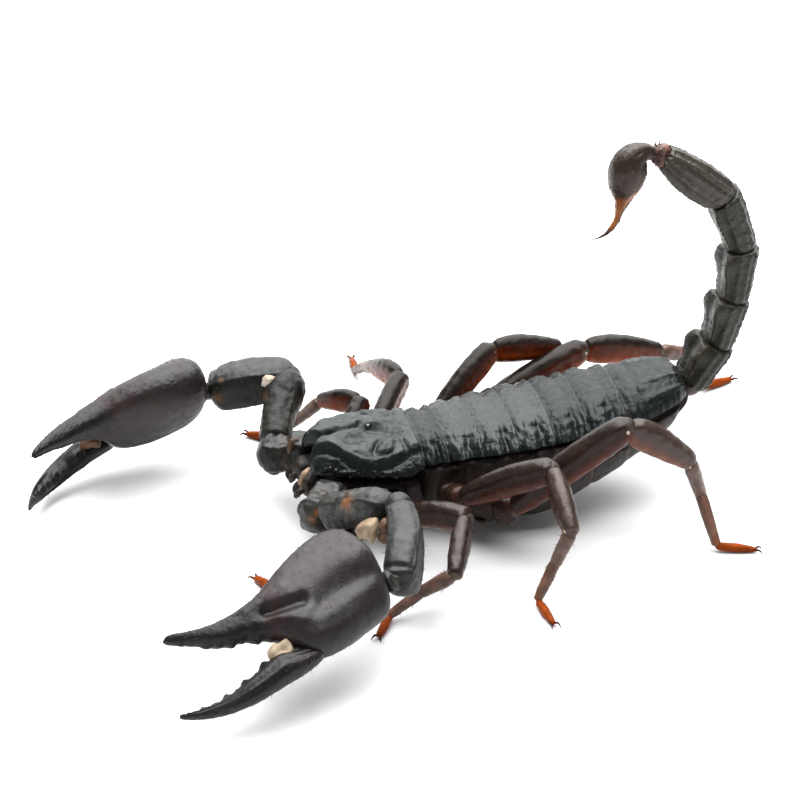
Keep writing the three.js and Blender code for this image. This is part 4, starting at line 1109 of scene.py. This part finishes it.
def makeTelson():
    look = {"first": -0.1, "over": 0, "top": (1, 0, 0), "square": 2.0, "grain": 0.04, "granules": 0.09,
            "granuleSize": 0.5, "rounding": (0.03, 0.01)}
    girth = [(0, 0.9), (0.1, 1.1), (0.16, 1.8), (0.24, 2.4), (0.34, 2.55), (0.44, 2.25), (0.52, 1.6),
             (0.59, 0.98), (0.67, 0.55), (0.77, 0.36), (0.87, 0.22), (0.95, 0.11), (1, 0.03)]
    look["width"] = look["height"] = girth
    look["keels"] = [(60, -0.1, 8), (120, -0.1, 8), (30, 0.06, 9), (0, -0.08, 7), (150, 0.06, 9)]

    def telsonTone(t, s, c):
        return (0.1 + (0.1 + 0.42 * step(0.2, 0.42, t)) * max(0, -c) + 0.5 * step(0.4, 0.58, t)
                + 0.12 * step(0.58, 0.68, t) + 0.26 * step(0.7, 0.95, t))

    look["tone"] = telsonTone
    vesicle = limbSweep(tailPose[6:], look)
    bm = newBody()
    addTube(bm, 170, 72, vesicle)
    finishPiece("telson", bm, horn["sting"], ["telson"])
    hairHosts["tail"].append((lambda t, a: vesicle(0.12 + 0.5 * t, a), 70, 1.2))


def makeTail():
    for index in range(5):
        makeTailSegment(index)
    makeTelson()
    bm = newBody()
    for index, size in ((0, 2.1), (1, 2.1), (2, 2.0), (3, 1.9), (4, 1.9)):
        addBall(bm, tailPose[index], size, 0.05, detail=24)
    finishPiece("tail_joints", bm, horn["membrane"])
    # the pale rim and its little spines where the sting hinges
    look = {"spines": 30, "radius": 1.45, "seed": 5}
    bm = newBody()
    neck, bulb = Vector(tailPose[5]), Vector(tailPose[6])
    addTube(bm, 30, 36, limbSweep([neck + Vector((0, 1.3, -0.9)), neck, bulb + Vector((0, -0.9, 0.25))], {
        "width": [(0, 1.2), (0.4, 1.35), (0.8, 1.15), (1, 0.9)],
        "height": [(0, 1.2), (0.4, 1.4), (0.8, 1.15), (1, 0.9)], "rounding": (0.2, 0.2), "grain": 0.4,
        "granules": 0.25, "granuleSize": 0.5,
        "tone": lambda t, s, c: 0.5 + 0.3 * math.sin(t * 14) + 0.15 * c}))
    random.seed(look["seed"])
    for _ in range(look["spines"]):
        out = Vector((random.uniform(-1, 1), random.uniform(-0.8, 0.5), random.uniform(-0.2, 1))).normalized()
        base = neck + Vector((0, random.uniform(-0.6, 0.6), 0)) + out * look["radius"] * 0.85
        addSpine(bm, 5, 6, base, base + out * random.uniform(0.5, 0.95), 0.35)
    finishPiece("anal_arch", bm, horn["archSkin"])
    print("tail made")


def makeUnderside():
    look = {"start": -29, "length": 20.4, "seams": (-24.5, -20.0, -15.6, -11.8), "teeth": 15,
            "combReach": 6.7}
    bm = newBody()

    def combLine(x):
        return -8.8 + x * 0.16

    def core(t, angle):
        y = look["start"] + t * look["length"]
        ceiling = marginHeight(y) - 0.9
        width = bodyWidth(y) - 1.7
        c, s = math.cos(angle), math.sin(angle)
        middle = ceiling - 2.6
        ends = math.sqrt(max(0.0, 1 - (2 * t - 1) ** 10))
        h = 2.5 if s > 0 else middle - bellyHeight(y)
        p = Vector((width * boxy(c, 3) * ends, y, middle + h * boxy(s, 3) * ends))
        seam = 0.0
        for place in look["seams"]:
            seam -= 0.35 * hump(y - place - abs(p.x) * 0.25, 0.3)
        p += Vector((c, 0, s)) * (0.15 * noise.noise(p * 1.2) + 0.06 * grains(p, 0.6) + seam)
        return p, 0.3 + seam * 0.5
    addTube(bm, 110, 84, core)
    finishPiece("coxal_plate", bm, horn["belly"], ["coxal_plate"])

    for sideName, sign in (("left", 1), ("right", -1)):
        bm = newBody()

        def comb(t, angle):
            x = 0.5 + t * look["combReach"]
            c, s = math.cos(angle), math.sin(angle)
            width = 0.8 * math.sqrt(max(0.0, 1 - (2 * t - 1) ** 6))
            return (sign * x, combLine(x) + width * c, 1.85 + 0.28 * s), 0.6
        addTube(bm, 30, 18, comb)
        for k in range(look["teeth"]):
            x = 1.0 + k * 0.4
            base = Vector((sign * x, combLine(x) + 0.5, 1.8))
            addTube(bm, 6, 8, limbSweep([base, base + Vector((sign * 0.12, 1.15, -0.15))], {
                "width": [(0, 0.17), (0.7, 0.17), (1, 0.1)], "height": [(0, 0.13), (1, 0.1)], "grain": 0,
                "rounding": (0.1, 0.3), "tone": lambda t, s, c: 0.8}))
        finishPiece("pectine_" + sideName, bm, horn["belly"], ["pectine_" + sideName])

        # jaws: a stout base, then a fixed and a moving finger
        bm = newBody()
        base, nose = Vector((sign * 1.85, -28.6, 8.4)), Vector((sign * 1.95, -31.9, 8.3))
        addTube(bm, 50, 44, limbSweep([base, nose], {
            "over": 0.5, "width": [(0, 1.3), (0.3, 1.6), (0.8, 1.65), (1, 1.2)],
            "height": [(0, 1.4), (0.3, 1.75), (0.8, 1.7), (1, 1.2)], "rounding": (0.1, 0.3), "granules": 0.06,
            "tone": lambda t, s, c: 0.12 + 0.3 * step(0.6, 1, t)}))
        for out, reach, drop, thick in ((0.8, 1.3, 1.6, 0.5), (-0.5, 1.1, 1.7, 0.55)):
            start = nose + Vector((sign * out, 0.2, -0.2))
            addTube(bm, 30, 20, limbSweep(
                [start, start + Vector((sign * out * 0.3, -reach * 0.55, -drop * 0.2)),
                 start + Vector((sign * out * 0.1, -reach * 0.95, -drop * 0.6)),
                 start + Vector((-sign * out * 0.45, -reach * 0.9, -drop))], {
                    "width": [(0, thick), (0.5, thick * 0.85), (1, 0.08)],
                    "height": [(0, thick), (0.5, thick * 0.85), (1, 0.08)], "rounding": (0.1, 0.03),
                    "grain": 0, "bumps": [(0.55, -90, 0.2, 0.05, 30), (0.7, -90, 0.16, 0.04, 30)],
                    "tone": lambda t, s, c: 0.55 - 0.5 * t}))
        finishPiece("chelicera_" + sideName, bm, horn["belly"], ["chelicera_" + sideName])
        # ochre skin between the jaw and the claw arm
        bm = newBody()
        addTube(bm, 30, 20, limbSweep(
            [(sign * 3.9, -31.1, 11.9), (sign * 4.3, -32.0, 11.3), (sign * 4.0, -32.5, 9.6)], {
                "width": [(0, 0.3), (0.5, 0.42), (1, 0.3)], "height": [(0, 0.3), (0.5, 0.4), (1, 0.3)],
                "grain": 0.12, "granules": 0.1, "tone": lambda t, s, c: 0.62 if sign > 0 else 0.2}))
        finishPiece("cheek_skin_" + sideName, bm, horn["membrane"])
    print("underside made")


def makeBristles():
    # each bristle is a fine three-sided cone, and its patch on the map sits at its root
    look = {"root": 0.045, "lean": 0.75, "patch": 0.003, "edge": 0.03, "used": 0.94, "seed": 11}
    random.seed(look["seed"])
    for group, hosts in hairHosts.items():
        bm = newBody()
        tone = bm.verts.layers.float["tone"]
        uvLayer = bm.loops.layers.uv.new("OFBake")
        for column, (shape, count, longest) in enumerate(hosts):
            for _ in range(count):
                t, angle = random.uniform(0.08, 0.93), random.uniform(-math.pi, math.pi)
                root = shape(t, angle)[0]
                along = shape(t + 0.01, angle)[0] - root
                aside = shape(t, angle + 0.05)[0] - root
                out = along.cross(aside).normalized()
                if out.dot(root - shape(t, angle + math.pi)[0]) < 0:
                    out = -out
                way = (out + along.normalized() * look["lean"]).normalized()
                long = longest * random.uniform(0.5, 1.0)
                start, tip = inFrame(root - out * 0.06), inFrame(root + way * long)
                turn = way.to_track_quat("Z", "Y").to_matrix().to_4x4()
                made = bmesh.ops.create_cone(bm, cap_ends=True, segments=3, radius1=look["root"] * mm,
                                             radius2=0.0, depth=(tip - start).length,
                                             matrix=Matrix.Translation((start + tip) / 2) @ turn)
                u = (column + (angle / math.tau + 0.5) * look["used"] + look["edge"]) / len(hosts)
                v = look["edge"] + look["used"] * t
                for vert in made["verts"]:
                    vert[tone] = random.random()
                    for loop in vert.link_loops:
                        corner = (vert.co - start).normalized() if (vert.co - start).length > 0 else out
                        loop[uvLayer].uv = (u + corner.x * look["patch"] / 2,
                                            v + corner.y * look["patch"] / 2)
        for vert in bm.verts:
            vert.co.z = max(vert.co.z, 0.0)
        finishPiece("bristles_" + group, bm, horn["bristles"])
    print("bristles made")


def makeStage():
    bm = bmesh.new()
    bmesh.ops.create_grid(bm, x_segments=1, y_segments=1, size=3)
    mesh = bpy.data.meshes.new("floor")
    bm.to_mesh(mesh)
    bm.free()
    floor = bpy.data.objects.new("floor", mesh)
    floor.location.z = -0.00005  # just under the soles
    bpy.context.scene.collection.objects.link(floor)
    paper = bpy.data.materials.new("white_paper")
    paper.use_nodes = True
    shader = paper.node_tree.nodes["Principled BSDF"]
    shader.inputs["Base Color"].default_value = (0.64, 0.64, 0.64, 1)
    shader.inputs["Roughness"].default_value = 0.9
    shader.inputs["Specular IOR Level"].default_value = 0.1
    mesh.materials.append(paper)

    # brightness is each panel's own glow, sizes and places are metres
    studio = {
        "sky": 0.36,
        "panels": {
            "topSoftbox": {"glow": 8.9, "size": (0.85, 0.82), "place": (-0.1, 0.02, 0.66), "aim": (0, 0, 0)},
            "backSoftbox": {"glow": 3.3, "size": (1.6, 0.8), "place": (-0.85, 0.2, 0.52),
                            "aim": (0, 0, 0.05)},
        },
    }
    world = bpy.data.worlds.new("studio")
    world.use_nodes = True
    world.node_tree.nodes["Background"].inputs["Color"].default_value = (1, 1, 1, 1)
    world.node_tree.nodes["Background"].inputs["Strength"].default_value = studio["sky"]
    bpy.context.scene.world = world
    for name, panel in studio["panels"].items():
        light = bpy.data.lights.new(name, "AREA")
        light.shape = "RECTANGLE"
        light.size, light.size_y = panel["size"]
        light.energy = panel["glow"] * math.pi * light.size * light.size_y
        lamp = bpy.data.objects.new(name, light)
        lamp.location = panel["place"]
        towards = Vector(panel["aim"]) - Vector(panel["place"])
        lamp.rotation_euler = towards.to_track_quat("-Z", "Y").to_euler()
        bpy.context.scene.collection.objects.link(lamp)

    shot = {"azimuth": 76.6, "elevation": 30.3, "distance": 400, "lens": 132.64, "target": (0, -17.7, 18.5)}
    a, e = math.radians(shot["azimuth"]), math.radians(shot["elevation"])
    back = Vector((math.sin(a) * math.cos(e), -math.cos(a) * math.cos(e), math.sin(e)))
    camera = bpy.data.objects.new("camera", bpy.data.cameras.new("camera"))
    camera.data.lens = shot["lens"]
    camera.data.sensor_width = 36
    camera.data.clip_start = 0.01
    camera.location = inFrame(shot["target"]) + back * (shot["distance"] * mm)
    camera.rotation_euler = (-back).to_track_quat("-Z", "Y").to_euler()
    bpy.context.scene.collection.objects.link(camera)
    bpy.context.scene.camera = camera
    bpy.context.scene.view_settings.view_transform = "Standard"
    print("stage made")


makeTrunk()
makeUnderside()
for sideName in ("left", "right"):
    makePalp(sideName)
    for number in range(4):
        makeLeg(sideName, number)
print("limbs made")
makeTail()
makeBristles()
makeStage()
